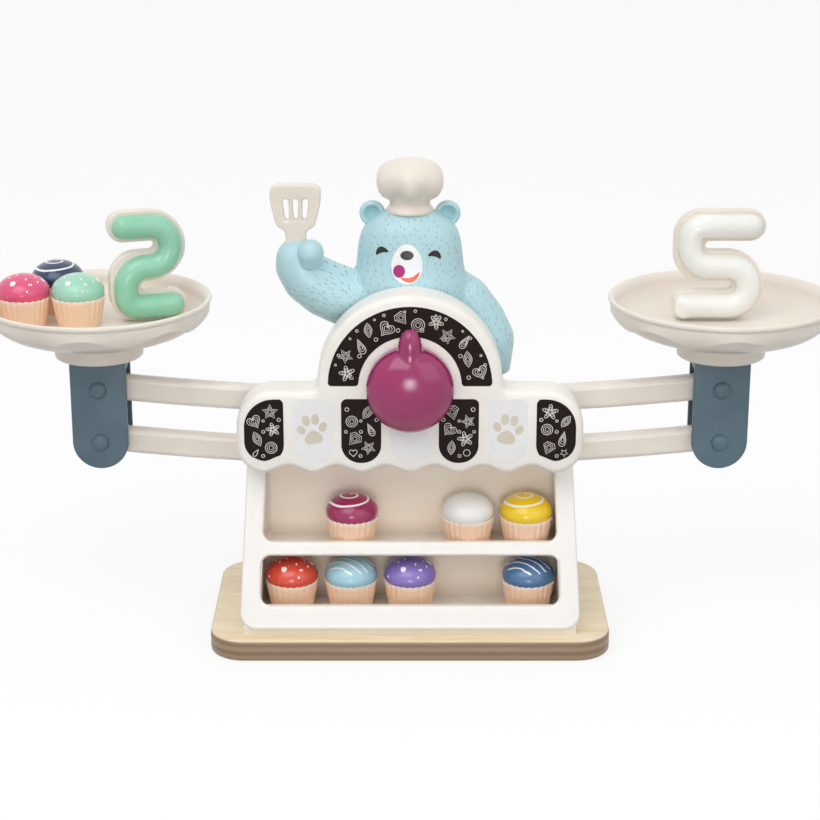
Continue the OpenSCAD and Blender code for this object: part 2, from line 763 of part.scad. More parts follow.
module bear_body() color("powderblue") difference() {
    union() {
        limb(head_shares, cheek_shares);
        limb(cheek_shares, chest_shares);
        limb(chest_shares, belly_shares);
        limb(chest_shares, upper_arm_shares);
        limb(upper_arm_shares, forearm_shares);
        limb(chest_shares, shoulder_shares);
        limb(shoulder_shares, elbow_shares);
        limb(elbow_shares, paw_shares);
        blob(thumb_shares);
        for (sx = [-1, 1]) blob([for (i = [0 : 5]) i == 0 ? sx * ear_shares[0] : ear_shares[i]]);
    }
    translate([-bear_h, -bear_h, bear_z - bear_h]) cube([2 * bear_h, 2 * bear_h, bear_h]);
    translate([-bear_h, -bear_h + awning_back_y + seat_gap, bear_z])
        cube([2 * bear_h, bear_h, axle_z + arch_r + seat_gap - bear_z]);
    rod_y(0, axle_z, lug_r + seat_gap, -bear_h, bear_h);
    translate([-lug_r - seat_gap, -bear_h, bear_z - over])
        cube([2 * (lug_r + seat_gap), 2 * bear_h, axle_z - bear_z + over]);
    translate([0, bear_back, hat_seat_z]) cylinder(r = hat_rim_r + seat_gap, h = bear_h);
    translate([paw_x, paw_y, paw_top_z - stem_sunk - inlay_gap])
        translate([-stem_w / 2 - inlay_gap, -blade_t / 2 - inlay_gap, 0])
            cube([stem_w + 2 * inlay_gap, blade_t + 2 * inlay_gap, bear_h]);
}

// Chef's hat: beaded band, flared neck and a crown of soft lobes
module chef_hat() color("ivory") translate([0, bear_back, hat_seat_z]) {
    bead = hat_h * 0.05;
    neck_r = hat_rim_r * 0.82;
    crown_z = hat_h * 0.66;
    lobe_r = hat_r * 0.5;
    rotate_extrude() polygon([
        [0, 0], [hat_rim_r - bead / 2, 0], [hat_rim_r, bead], [hat_rim_r - bead / 2, 2 * bead],
        [neck_r, 3 * bead], [neck_r, hat_h * 0.3], [neck_r * 1.15, hat_h * 0.42],
        [hat_r * 0.85, crown_z - lobe_r / 3], [hat_r * 0.8, crown_z + lobe_r / 2],
        [hat_r * 0.6, hat_h * 0.93], [hat_r * 0.3, hat_h * 0.985], [0, hat_h]
    ]);
    for (i = [0 : 5]) rotate([0, 0, 60 * i + 30]) translate([hat_r - lobe_r, 0, crown_z]) sphere(r = lobe_r);
}

// Slotted spatula standing in the raised paw
module spatula_outline() {
    corner = blade_w * 0.15;
    translate([0, stem_sunk + blade_h * 0.3]) difference() {
        offset(r = corner) offset(delta = -corner) polygon([
            [-blade_w * 0.42, 0], [blade_w * 0.42, 0], [blade_w / 2, blade_h * 0.45], [blade_w / 2, blade_h],
            [-blade_w / 2, blade_h], [-blade_w / 2, blade_h * 0.45]
        ]);
        for (i = [-1 : 1]) translate([i * blade_w * 0.19, blade_h * 0.52])
            offset(r = blade_w * 0.055) square([blade_w * 0.01, blade_h * 0.3], center = true);
    }
    translate([-stem_w / 2, 0]) square([stem_w, stem_sunk + blade_h * 0.4]);
}

module spatula() color("ivory") translate([paw_x, 0, paw_top_z - stem_sunk])
    along_y(paw_y - blade_t / 2, paw_y + blade_t / 2) spatula_outline();

// Flanged plain bearing, with its flange towards the beam
module bush(length) {
    rotate_extrude() polygon([
        [axle_r + run_clear, 0], [bush_flange_r, 0], [bush_flange_r, bush_flange_t],
        [bush_r, bush_flange_t], [bush_r, length + bush_flange_t],
        [axle_r + run_clear, length + bush_flange_t]
    ]);
}

module front_bush() color("gainsboro")
    translate([0, panel_back_y + bush_flange_t, axle_z]) rotate([90, 0, 0])
        bush(panel_back_y - awning_back_y);
module rear_bush() color("gainsboro")
    translate([0, rear_tower_y - bush_flange_t, axle_z]) rotate([-90, 0, 0]) bush(rear_lug_t);

// Fixed pin on which the lower beam turns
lower_axle_y0 = awning_back_y + wall + screw_clear;
lower_axle_y1 = rear_tower_y + rear_lug_t - wall - screw_clear;
module lower_axle() color("silver") rod_y(0, lower_axle_z, axle_r, lower_axle_y0, lower_axle_y1);

// Curved beam with an eye at each end; a web carries its hub above its middle
module beam_bar(end_z) {
    translate([0, beam_back, end_z - beam_sag + beam_arc_r]) rotate([90, 0, 0])
        rotate([0, 0, -90 - beam_arc]) rotate_extrude(angle = 2 * beam_arc, $fn = arc_fn)
            translate([beam_arc_r, 0]) offset(r = beam_edge_r, $fn = round_fn)
                square([beam_h - 2 * beam_edge_r, beam_t - 2 * beam_edge_r], center = true);
    for (s = [-1, 1]) rod_y(s * pivot_x, end_z, eye_r, eye_y0, eye_y1);
}

eye_half = upright_d / 2 - plate_t - seat_gap;
eye_y0 = beam_back - eye_half;
eye_y1 = beam_back + eye_half;

module eye_bores(end_z) {
    for (s = [-1, 1]) rod_y(s * pivot_x, end_z, pin_r + run_clear, eye_y0 - over, eye_y1 + over);
}

module beam_web(end_z, hub_z, root_w, top_w) {
    along_y(beam_back - beam_t / 2, beam_back + beam_t / 2) polygon([
        [-root_w, end_z - beam_sag], [root_w, end_z - beam_sag], [top_w, hub_z], [-top_w, hub_z]
    ]);
}

module upper_beam() color("antiquewhite") difference() {
    union() {
        beam_bar(end_upper_z);
        beam_web(end_upper_z, axle_z, 2 * hub_r, hub_r);
        rod_y(0, axle_z, hub_r, beam_back - upper_hub_len / 2, beam_back + upper_hub_len / 2);
    }
    eye_bores(end_upper_z);
    rod_y(0, axle_z, axle_r + run_clear, panel_back_y, rear_tower_y);
    rod_y(0, lower_axle_z, notch_r, panel_back_y, rear_tower_y);
}

module lower_beam() color("antiquewhite") difference() {
    union() {
        beam_bar(end_lower_z);
        beam_web(end_lower_z, lower_axle_z, 1.5 * lower_hub_r, lower_hub_r);
        rod_y(0, lower_axle_z, lower_hub_r, beam_back - lower_hub_len / 2, beam_back + lower_hub_len / 2);
    }
    eye_bores(end_lower_z);
    rod_y(0, lower_axle_z, axle_r + run_clear, panel_back_y, rear_tower_y);
}

// Axle of the upper beam, from the knob to a clip behind the rear bearing
knob_back_y = face_y - inlay_t + inlay_sunk - hub_gap / 2;
axle_front_y = knob_back_y - knob_t * 0.6;
clip_y = rear_tower_y + rear_lug_t + seat_gap;
module upper_axle() color("silver") rod_y(0, axle_z, axle_r, axle_front_y, clip_y + 2 * clip_t);

module axle_clip() color("dimgray") difference() {
    rod_y(0, axle_z, bush_r, clip_y, clip_y + clip_t);
    rod_y(0, axle_z, axle_r + run_clear, clip_y - over, clip_y + clip_t + over);
}

// Domed knob with a blunt pointer
module pointer_knob() color("mediumvioletred") difference() {
    union() {
        turned_y(0, knob_back_y, axle_z) polygon(concat(
            [[0, 0], [knob_r * 0.93, 0], [knob_r, knob_t * 0.1]],
            [for (i = [0 : curve_steps]) let (a = 90 * i / curve_steps)
                [knob_r * cos(a), knob_t * (0.3 + 0.7 * sin(a))]]
        ));
        translate([0, knob_back_y - pointer_w / 2 - screw_clear, axle_z]) rotate_extrude() polygon(concat(
            [[0, 0], [pointer_w / 2, 0]],
            [for (i = [0 : curve_steps]) let (a = 90 * i / curve_steps)
                [pointer_w / 2 * pow(cos(a), 0.8), knob_r * 0.85 + (pointer_reach - knob_r * 0.85) * sin(a)]]
        ));
    }
    rod_y(0, axle_z, axle_r + run_clear, axle_front_y - screw_clear, knob_back_y + over);
}

// U-shaped upright: two round-ended plates, an outer web and a top block
module upright(side) {
    half_d = upright_d / 2;
    module plate_outline() {
        translate([side * pivot_x, end_lower_z]) circle(r = upright_w / 2);
        translate([side * pivot_x - upright_w / 2, end_lower_z]) square([upright_w, pan_z - end_lower_z]);
    }
    difference() {
        union() {
            along_y(beam_back - half_d, beam_back - half_d + plate_t) plate_outline();
            along_y(beam_back + half_d - plate_t, beam_back + half_d) plate_outline();
            along_y(beam_back - half_d, beam_back + half_d) {
                translate([side * pivot_x - upright_w / 2, pan_z - 2 * plate_t])
                    square([upright_w, 2 * plate_t]);
                translate([side * (pivot_x + upright_w / 2 - plate_t / 2) - plate_t / 2, end_lower_z])
                    square([plate_t, pan_z - end_lower_z]);
            }
        }
        for (z = [end_lower_z, end_upper_z])
            rod_y(side * pivot_x, z, pin_r + run_clear, beam_back - upright_d, beam_back + upright_d);
        for (x = pan_screw_xs(side)) translate([x, beam_back, pan_z - 2 * plate_t]) screw_hole(3 * plate_t);
    }
}

function pan_screw_xs(side) = [for (s = [-1, 1]) side * pivot_x + s * boss_in_r * 0.6];

module left_upright() color("slategray") upright(-1);
module right_upright() color("slategray") upright(1);

// Two pins with domed heads through both plates
module pivot_pins(side) {
    head_r = pin_r * 2.4;
    head_h = pin_r;
    half = upright_d / 2;
    for (z = [end_lower_z, end_upper_z]) translate([side * pivot_x, beam_back, z]) rotate([90, 0, 0])
        rotate_extrude() polygon(concat(
            [[0, -half - head_h]],
            [for (i = [1 : curve_steps]) let (a = 90 * i / curve_steps)
                [head_r * sin(a), -half - head_h * cos(a)]],
            [[pin_r, -half], [pin_r, half]],
            [for (i = [0 : curve_steps - 1]) let (a = 90 * i / curve_steps)
                [head_r * cos(a), half + head_h * sin(a)]],
            [[0, half + head_h]]
        ));
}

module left_pivot_pins() color("slategray") pivot_pins(-1);
module right_pivot_pins() color("slategray") pivot_pins(1);

// Heights from z0 to z1 in even steps
function heights(z0, z1) = [for (i = [0 : curve_steps]) z0 + (z1 - z0) * i / curve_steps];

// Dish with a beaded rim; a skirt below the rim ends in waves
module pan(side) {
    translate([side * pivot_x, beam_back, pan_z]) {
        rotate_extrude($fn = 96) polygon(concat(
            [[0, dish_low], [0, dish_top]],
            [for (z = heights(dish_top, bowl_z)) [bowl_at(z, skirt_step) - pan_wall, z]],
            [[pan_r - 1.2 * pan_wall, pan_h - rim_bead], [bowl_r - rim_bead / 2, pan_h],
                [pan_r - rim_bead / 2, pan_h], [pan_r, pan_h - rim_bead], [pan_r, pan_h - 2 * rim_bead],
                [bowl_r, bowl_z]],
            [for (z = heights(bowl_z, dish_low)) [bowl_at(z, skirt_step), z]]
        ));
        difference() {
            rotate_extrude($fn = 96) polygon(concat(
                [for (z = heights(bowl_z, skirt_low)) [bowl_at(z, 0), z]],
                [for (z = heights(skirt_low, bowl_z)) [bowl_at(z, skirt_step) - pan_wall / 2, z]]
            ));
            for (i = [0 : pan_waves - 1]) rotate([0, 0, 360 * i / pan_waves - 90])
                translate([foot_r, 0, skirt_low + wave_h - wave_r]) rotate([0, 90, 0])
                    cylinder(r = wave_r, h = pan_r);
        }
    }
}

module left_pan() color("linen") pan(-1);
module right_pan() color("linen") pan(1);

// Bowl under the dish, with the foot ring and the boss that is screwed to the upright
module pan_base(side) {
    top_z = dish_low - seat_gap;
    under = skirt_step + seat_gap;
    side_low = bowl_low + under;
    side_zs = heights(side_low, top_z);
    translate([side * pivot_x, beam_back, pan_z]) difference() {
        rotate_extrude($fn = 96) polygon(concat(
            [[0, 0], [foot_r, 0]],
            [for (z = side_zs) [bowl_at(z, under), z]],
            [for (i = [curve_steps : -1 : 1]) [bowl_at(side_zs[i], under) - pan_wall, side_zs[i]]],
            [[foot_r - pan_wall, side_low + pan_wall], [foot_r - pan_wall, pan_wall],
                [boss_in_r, pan_wall], [boss_in_r, dish_low], [0, dish_low]]
        ));
        for (x = pan_screw_xs(0)) translate([x, 0, -over])
            cylinder(r = screw_r + screw_clear, h = screw_len + over);
    }
}

module left_pan_base() color("linen") pan_base(-1);
module right_pan_base() color("linen") pan_base(1);

module pan_screws(side) {
    for (x = pan_screw_xs(side))
        translate([x, beam_back, pan_z - 2 * plate_t]) screw(2 * plate_t + screw_len - over);
}

module left_pan_screws() color("silver") pan_screws(-1);
module right_pan_screws() color("silver") pan_screws(1);

// Outline of the five, drawn from its lower left corner; the two is the same outline turned over
module digit_outline(width) {
    lap = digit_stroke / 8;
    turn_x = width - digit_turn_r;
    upper_low = digit_stroke + digit_gap;
    translate([0, digit_h - digit_stroke]) {
        translate([digit_corner_r, 0]) square([width - digit_corner_r - digit_stroke / 2, digit_stroke]);
        translate([width - digit_stroke / 2, digit_stroke / 2]) circle(d = digit_stroke);
    }
    difference() {
        translate([0, upper_low]) offset(r = digit_corner_r) offset(delta = -digit_corner_r)
            square([2 * digit_turn_r, digit_h - upper_low]);
        translate([digit_stroke + digit_gap / 2, digit_h - digit_turn_r]) {
            circle(d = digit_gap);
            translate([0, -digit_gap / 2]) square([width, digit_gap]);
        }
        translate([digit_turn_r + lap, 0]) square([width, digit_h]);
    }
    translate([digit_turn_r, upper_low]) square([turn_x - digit_turn_r + lap, digit_stroke]);
    difference() {
        translate([turn_x, digit_turn_r]) circle(r = digit_turn_r, $fn = 72);
        translate([turn_x, digit_turn_r]) circle(d = digit_gap);
        square([turn_x, digit_h]);
    }
    offset(r = digit_gap / 2) offset(delta = -digit_gap / 2) square([turn_x + digit_gap, digit_stroke]);
}

// Places a numeral's front view upright in its pan
five_place = [pivot_x - pan_r * 0.04, beam_back + pan_r * 0.075, pan_floor_z];
two_place = [-pivot_x + pan_r * 0.449, beam_back + pan_r * 0.077, pan_floor_z];
module placed(place, turn) {
    translate(place) rotate([0, 0, turn]) children();
}

module five_view() {
    translate([-digit_w / 2, 0]) digit_outline(digit_w);
}

module two_view() {
    translate([-two_w / 2, digit_h]) mirror([0, 1]) digit_outline(two_w);
}

// Steel slug closed into the foot of a numeral: its left end and width as shares of the numeral's width,
// chosen so that the two with three cupcakes balances the five
five_slug_shares = [-0.426, 0.607];
two_slug_shares = [-0.058, 0.115];
slug_z = digit_lip + ballast_wall;
slug_h = digit_stroke - 2 * slug_z;
slug_y0 = -digit_face_t * 0.6;
slug_y1 = digit_back_t - ballast_wall;
module slug(width, shares, gap) {
    along_y(slug_y0 + gap, slug_y1 - gap) offset(delta = -gap)
        translate([width * shares[0], slug_z]) square([width * shares[1], slug_h]);
}

module five_slug(gap) slug(digit_w, five_slug_shares, gap);
module two_slug(gap) slug(two_w, two_slug_shares, gap);

// Back shell, whose rim shows all round the coloured face
module digit_back() along_y(0, digit_back_t) children();
module digit_face() rotate([90, 0, 0]) eased(digit_face_t, digit_edge_r)
    offset(delta = -digit_lip) children();

module two_back() color("ivory") placed(two_place, two_turn) difference() {
    digit_back() two_view();
    two_slug(0);
}
module two_face() color("mediumaquamarine") placed(two_place, two_turn) difference() {
    digit_face() two_view();
    two_slug(0);
}
module two_ballast() color("gray") placed(two_place, two_turn) two_slug(run_clear);
module five_back() color("ivory") placed(five_place, 0) difference() {
    digit_back() five_view();
    five_slug(0);
}
module five_face() color("white") placed(five_place, 0) difference() {
    digit_face() five_view();
    five_slug(0);
}
module five_ballast() color("gray") placed(five_place, 0) five_slug(run_clear);

// Hollow fluted cup that the icing closes
flute_h = 0.7;
module cake_cup(place) color("peachpuff") translate(place) difference() {
    linear_extrude(height = cup_h, scale = cake_d / cup_foot_d) polygon([
        for (i = [0 : 3 * flutes - 1]) let (r = cup_foot_d / 2 - (i % 3 == 0 ? flute_h : 0))
            r * [cos(120 * i / flutes), sin(120 * i / flutes)]
    ]);
    bore_r = spigot_r + seat_gap;
    translate([0, 0, cup_wall])
        cylinder(r1 = cup_foot_d / 2 - flute_h - cup_wall, r2 = bore_r, h = cup_h - spigot_h - cup_wall);
    translate([0, 0, cup_h - spigot_h]) cylinder(r = bore_r, h = spigot_h + over);
}

// Hollow icing dome with a rolled lower edge and a spigot ring
module cake_icing(place, tint) color(tint) translate([place[0], place[1], place[2] + cup_h]) {
    dome_r = cake_d / 2 - seat_gap;
    roll = icing_h * 0.22;
    bore_r = spigot_r - cup_wall;
    bore_top = icing_h * 0.62;
    rotate_extrude() polygon(concat(
        [[0, bore_top], [bore_r, bore_top], [bore_r, -spigot_h], [spigot_r, -spigot_h], [spigot_r, 0]],
        [[dome_r - roll, 0], [dome_r - roll * 0.3, roll * 0.3]],
        [for (i = [0 : curve_steps]) let (a = 90 * i / curve_steps)
            [dome_r * cos(a), roll + (icing_h - roll) * sin(a)]]
    ));
}

base_board();
base_screws();
cabinet();
rear_cover();
cover_screws();
awning();
awning_screws();
arch_inlay();
outer_inlays();
inner_inlays();
paw_inlays();
centre_inlay();
bear_body();
chef_hat();
spatula();
front_bush();
rear_bush();
lower_axle();
upper_beam();
upper_axle();
pointer_knob();
axle_clip();
lower_beam();
left_upright();
left_pivot_pins();
left_pan();
left_pan_base();
left_pan_screws();
right_upright();
right_pivot_pins();
right_pan();
right_pan_base();
right_pan_screws();
two_back();
two_face();
two_ballast();
five_back();
five_face();
five_ballast();
for (c = cakes) {
    cake_cup(c[2]);
    cake_icing(c[2], c[1]);
}
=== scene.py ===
import math

import bmesh
import bpy
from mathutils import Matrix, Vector


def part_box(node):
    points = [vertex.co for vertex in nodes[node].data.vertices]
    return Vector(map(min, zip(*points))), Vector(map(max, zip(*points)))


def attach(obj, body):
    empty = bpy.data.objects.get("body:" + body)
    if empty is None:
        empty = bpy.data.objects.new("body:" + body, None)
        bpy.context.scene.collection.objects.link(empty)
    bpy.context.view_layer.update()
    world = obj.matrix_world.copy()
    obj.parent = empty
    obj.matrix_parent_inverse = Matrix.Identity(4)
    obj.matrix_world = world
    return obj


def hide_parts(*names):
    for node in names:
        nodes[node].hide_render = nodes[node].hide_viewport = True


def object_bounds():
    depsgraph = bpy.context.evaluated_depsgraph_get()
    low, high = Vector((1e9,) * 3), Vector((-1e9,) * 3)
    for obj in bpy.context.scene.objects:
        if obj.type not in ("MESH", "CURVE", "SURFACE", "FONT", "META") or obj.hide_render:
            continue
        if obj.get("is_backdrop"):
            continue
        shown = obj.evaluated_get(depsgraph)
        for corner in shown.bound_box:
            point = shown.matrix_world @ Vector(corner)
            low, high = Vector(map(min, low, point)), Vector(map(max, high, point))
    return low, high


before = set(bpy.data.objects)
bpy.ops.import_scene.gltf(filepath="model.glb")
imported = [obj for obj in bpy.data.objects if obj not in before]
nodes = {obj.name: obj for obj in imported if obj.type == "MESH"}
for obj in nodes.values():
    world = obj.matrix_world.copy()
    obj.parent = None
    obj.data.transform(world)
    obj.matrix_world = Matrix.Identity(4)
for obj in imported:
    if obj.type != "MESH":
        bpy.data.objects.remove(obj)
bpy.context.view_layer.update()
mm = 0.001

# View and light. The toy stands on a plain white table in soft studio light, seen from the front
# and a little above with a long lens, so that its uprights stay nearly parallel.
lens_mm = 93.8
camera_place = (0, -1.3895, 0.6116)
look_down = 18.2
scene = bpy.context.scene
scene.view_settings.view_transform = "Standard"
bpy.ops.object.select_all(action="DESELECT")
bpy.ops.object.camera_add(location=camera_place, rotation=(math.radians(90 - look_down), 0, 0))
scene.camera = bpy.context.object
scene.camera.data.lens = lens_mm


class Tone:
    """One socket in a material's node tree; sums and products of tones add Math nodes."""

    def __init__(self, tree, socket=None):
        self.tree, self.socket = tree, socket

    def node(self, kind, inputs=None, out=0, stops=None, **settings):
        """Adds a node, sets it up, feeds its sockets and returns one of its outputs."""
        made = self.tree.nodes.new("ShaderNode" + kind)
        for key, value in settings.items():
            setattr(made, key, value)
        if stops:
            band = made.color_ramp.elements
            while len(band) < len(stops):
                band.new(0.5)
            for element, (place, colour) in zip(band, stops):
                element.position, element.color = place, colour
        for key, value in (inputs or {}).items():
            if isinstance(value, Tone):
                self.tree.links.new(value.socket, made.inputs[key])
            else:
                made.inputs[key].default_value = value
        return Tone(self.tree, made.outputs[out])

    def math(self, operation, a, b=0.0, c=0.0):
        return self.node("Math", {0: a, 1: b, 2: c}, operation=operation)

    def __add__(self, other):
        return self.math("ADD", self, other)

    def __radd__(self, other):
        return self.math("ADD", other, self)

    def __sub__(self, other):
        return self.math("SUBTRACT", self, other)

    def __rsub__(self, other):
        return self.math("SUBTRACT", other, self)

    def __mul__(self, other):
        return self.math("MULTIPLY", self, other)

    def __rmul__(self, other):
        return self.math("MULTIPLY", other, self)

    def __truediv__(self, other):
        return self.math("DIVIDE", self, other)

    def __gt__(self, other):
        return self.math("GREATER_THAN", self, other)

    def __lt__(self, other):
        return self.math("LESS_THAN", self, other)

    def __mod__(self, other):
        return self.math("FLOORED_MODULO", self, other)

    def __abs__(self):
        return self.math("ABSOLUTE", self)

    def noise(self, vector, scale, detail, **more):
        """Soft noise at a scale, with finer noise in it."""
        return self.node("TexNoise", {"Vector": vector, "Scale": scale, "Detail": detail, **more})

    def part(self, axis):
        """One of the three values of a place or direction."""
        return self.node("SeparateXYZ", {0: self}, out=axis)

    def step(self, low, high):
        """Soft step from 0 at low to 1 at high."""
        return self.node("MapRange", {0: self, 1: low, 2: high, 3: 0.0, 4: 1.0},
                         interpolation_type="SMOOTHSTEP")

    def mix(self, first, second):
        """Blends two colours, with this tone as the share of the second."""
        return self.node("Mix", {0: self, 6: first, 7: second}, out=2, data_type="RGBA")


def ink(red, green, blue):
    """A colour as it is seen, from 0 to 255, in the linear values that shaders take."""
    linear = [c / 255 / 12.92 if c / 255 <= 0.04045 else ((c / 255 + 0.055) / 1.055) ** 2.4
              for c in (red, green, blue)]
    return (*linear, 1.0)


def blank(name):
    """A new material with its shader; returns the material, a tone to build from and the shader."""
    material = bpy.data.materials.new(name)
    material.use_nodes = True
    tree = material.node_tree
    return material, Tone(tree), tree.nodes["Principled BSDF"]


def feed(shader, **inputs):
    """Links tones to the shader's sockets and sets plain values on them."""
    for key, value in inputs.items():
        socket = shader.inputs[key.replace("_", " ")]
        if isinstance(value, Tone):
            value.tree.links.new(value.socket, socket)
        else:
            socket.default_value = value


def in_sight(tone):
    """1 for rays from the camera, from a gloss or through glass, and 0 for rays that only carry light."""
    rays = [tone.node("LightPath", out=f"Is {kind} Ray") for kind in ("Camera", "Glossy", "Transmission")]
    return tone.math("MAXIMUM", rays[0], tone.math("MAXIMUM", rays[1], rays[2]))


pure_white, bounce_grey = (1, 1, 1, 1), (0.4, 0.4, 0.4, 1)
glow_share = 0.8
table_size, table_mid = 16, (0, 2, -0.0002)
floor_paint, tone, shader = blank("table")
seen = in_sight(tone)
feed(shader, Base_Color=seen.mix(bounce_grey, pure_white), Roughness=0.9, Specular_IOR_Level=0.0)
glow = tone.node("Emission", {"Color": pure_white, "Strength": 1.0})
lit = Tone(floor_paint.node_tree, shader.outputs[0])
white = tone.node("MixShader", {0: seen * glow_share, 1: lit, 2: glow})
floor_paint.node_tree.links.new(white.socket, floor_paint.node_tree.nodes["Material Output"].inputs[0])
bpy.ops.mesh.primitive_plane_add(size=table_size, location=table_mid)
table = bpy.context.object
table.name = "table"
table.data.materials.append(floor_paint)
table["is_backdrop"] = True

sky_low, sky_rise = 0.28, 0.5
world = bpy.data.worlds.new("studio")
scene.world = world
world.use_nodes = True
sky = Tone(world.node_tree)
seen = in_sight(sky)
upward = sky.node("TexCoord", out="Generated").part(2).step(-0.1, 0.7)
backdrop = world.node_tree.nodes["Background"]
backdrop.inputs["Color"].default_value = pure_white
strength = seen + (1 - seen) * (sky_low + upward * sky_rise)
world.node_tree.links.new(strength.socket, backdrop.inputs["Strength"])
lamps = (("key", (-0.5, -1.0, 1.7), (0, 0, 0.15), 1.4, 12, 180),
         ("fill", (1.1, -1.2, 1.1), (0, 0, 0.15), 1.4, 4, 180),
         ("shelf", (0, -0.95, 0.16), (0, 0, 0.09), 0.5, 0.14, 26))
for name, place, target, size, power, spread in lamps:
    bpy.ops.object.light_add(type="AREA", location=place)
    lamp = bpy.context.object
    lamp.name = name
    lamp.data.size = size
    lamp.data.energy = power
    lamp.data.spread = math.radians(spread)
    aim = Vector(target) - Vector(place)
    lamp.rotation_euler = aim.to_track_quat("-Z", "Y").to_euler()

# Base board. A sheet of birch plywood with a maple face, cut with round corners, its edges eased
# with a router and the whole sanded and clear-lacquered. Screws hold it from below.
board_corner = 24 * mm
board_ease = 2.5 * mm


def pick(piece, kind, test):
    """Selects in edit mode the vertices, edges or faces that the test accepts."""
    bpy.ops.mesh.select_mode(type={"verts": "VERT", "edges": "EDGE", "faces": "FACE"}[kind])
    bpy.ops.mesh.select_all(action="DESELECT")
    mesh = bmesh.from_edit_mesh(piece.data)
    mesh.normal_update()
    for item in getattr(mesh, kind):
        if test(item):
            item.select_set(True)
    mesh.select_flush_mode()
    bmesh.update_edit_mesh(piece.data)


def only(piece):
    """Makes the piece the active one and the only one selected."""
    bpy.ops.object.select_all(action="DESELECT")
    piece.select_set(True)
    bpy.context.view_layer.objects.active = piece


def edit(piece):
    """Selects the piece alone and enters edit mode."""
    only(piece)
    bpy.ops.object.mode_set(mode="EDIT")


def outward():
    """Merges doubles, turns all faces outwards and leaves edit mode."""
    bpy.ops.mesh.select_all(action="SELECT")
    bpy.ops.mesh.remove_doubles(threshold=1e-6)
    bpy.ops.mesh.normals_make_consistent(inside=False)
    bpy.ops.object.mode_set(mode="OBJECT")


def fit(piece, name, material, body, slot, *stands_for, angle=35):
    """Names a finished piece, gives it its material and sets it on its body."""
    only(piece)
    bpy.ops.object.transform_apply(location=True, rotation=True, scale=True)
    bpy.ops.object.shade_smooth_by_angle(angle=math.radians(angle))
    piece.name = piece.data.name = name
    piece.data.materials.clear()
    piece.data.materials.append(material)
    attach(piece, body)
    if stands_for:
        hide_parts(*stands_for)
    return piece


low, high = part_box("base_board")
bpy.ops.object.select_all(action="DESELECT")
bpy.ops.mesh.primitive_plane_add(size=1, location=((low + high) / 2)[:2] + (low.z,))
board = bpy.context.object
board.scale = (high.x - low.x, high.y - low.y, 1)
bpy.ops.object.transform_apply(location=True, scale=True)
edit(board)
bpy.ops.mesh.bevel(affect="VERTICES", offset=board_corner, segments=14)
bpy.ops.mesh.select_all(action="SELECT")
bpy.ops.mesh.extrude_region_move(TRANSFORM_OT_translate={"value": (0, 0, high.z - low.z)})
pick(board, "edges", lambda e: abs(e.verts[0].co.z - e.verts[1].co.z) < 1e-6)
bpy.ops.mesh.bevel(affect="EDGES", offset=board_ease, segments=4)
outward()

plywood, tone, shader = blank("lacquered_plywood")
place = tone.node("TexCoord", out="Object")
height = place.part(2)
up = tone.node("NewGeometry", out="Normal").part(2)
fibre = tone.node("Mapping", {0: place, 3: (6, 90, 90)})
fine = tone.noise(fibre, 9.0, 6.0, Roughness=0.6)
bands = tone.node("Mapping", {0: place, 3: (2.5, 22, 22)})
broad = tone.noise(bands, 3.0, 4.0, Distortion=0.8)
grain = (fine * 0.5 + broad * 0.5).step(0.3, 0.72)
face = grain.mix(ink(246, 232, 204), ink(226, 202, 160))
ply = (height / (high.z - low.z) * 2.5) % 1.0
layer = abs(ply - 0.5).step(0.12, 0.38)
cut_fibre = tone.node("Mapping", {0: place, 3: (60, 60, 500)})
edge_grain = tone.noise(cut_fibre, 8.0, 3.0)
edge = (layer * 0.6 + edge_grain * 0.4).mix(ink(172, 146, 118), ink(132, 106, 82))
flat = abs(up).step(0.5, 0.8)
feed(shader, Base_Color=flat.mix(edge, face), Roughness=0.38 + grain * 0.12, Coat_Weight=0.15,
     Normal=tone.node("Bump", {"Strength": 0.12, "Distance": 0.0003, "Height": fine}))
fit(board, "plywood_board", plywood, "stand", "plywood", "base_board")

# Screws, axles, the clip and the numerals' slugs. Plain zinc-plated steel, turned and stamped, hardly seen
# in use: the wood screws are under the board and the machine screws lie deep in their wells.


def dress(name, material, bevel=0.0):
    """Gives a carried-over solid its material and, where it has sharp tool edges, their small round."""
    piece = nodes[name]
    piece.data.materials.clear()
    piece.data.materials.append(material)
    if bevel:
        weld = piece.modifiers.new("weld", "WELD")
        weld.merge_threshold = 1e-6
        round_edge = piece.modifiers.new("round", "BEVEL")
        round_edge.width = bevel
        round_edge.segments = 2
        round_edge.limit_method = "ANGLE"
        round_edge.angle_limit = math.radians(40)
        round_edge.harden_normals = True


steel, tone, shader = blank("zinc_plated_steel")
place = tone.node("TexCoord", out="Object")
brush = tone.noise(place, 900.0, 2.0)
feed(shader, Base_Color=brush.mix(ink(176, 176, 178), ink(208, 208, 206)), Metallic=1.0,
     Roughness=0.28 + brush * 0.2)
for name in ("base_screws", "cover_screws", "awning_screws", "left_pan_screws", "right_pan_screws",
             "lower_axle", "upper_axle", "axle_clip", "two_ballast", "five_ballast"):
    dress(name, steel)

# Cabinet and rear cover. Two shells moulded in cream plastic, closed front to back and screwed together;
# their edges have the small round that every moulding gets from its tool.
tool_round = 0.9 * mm


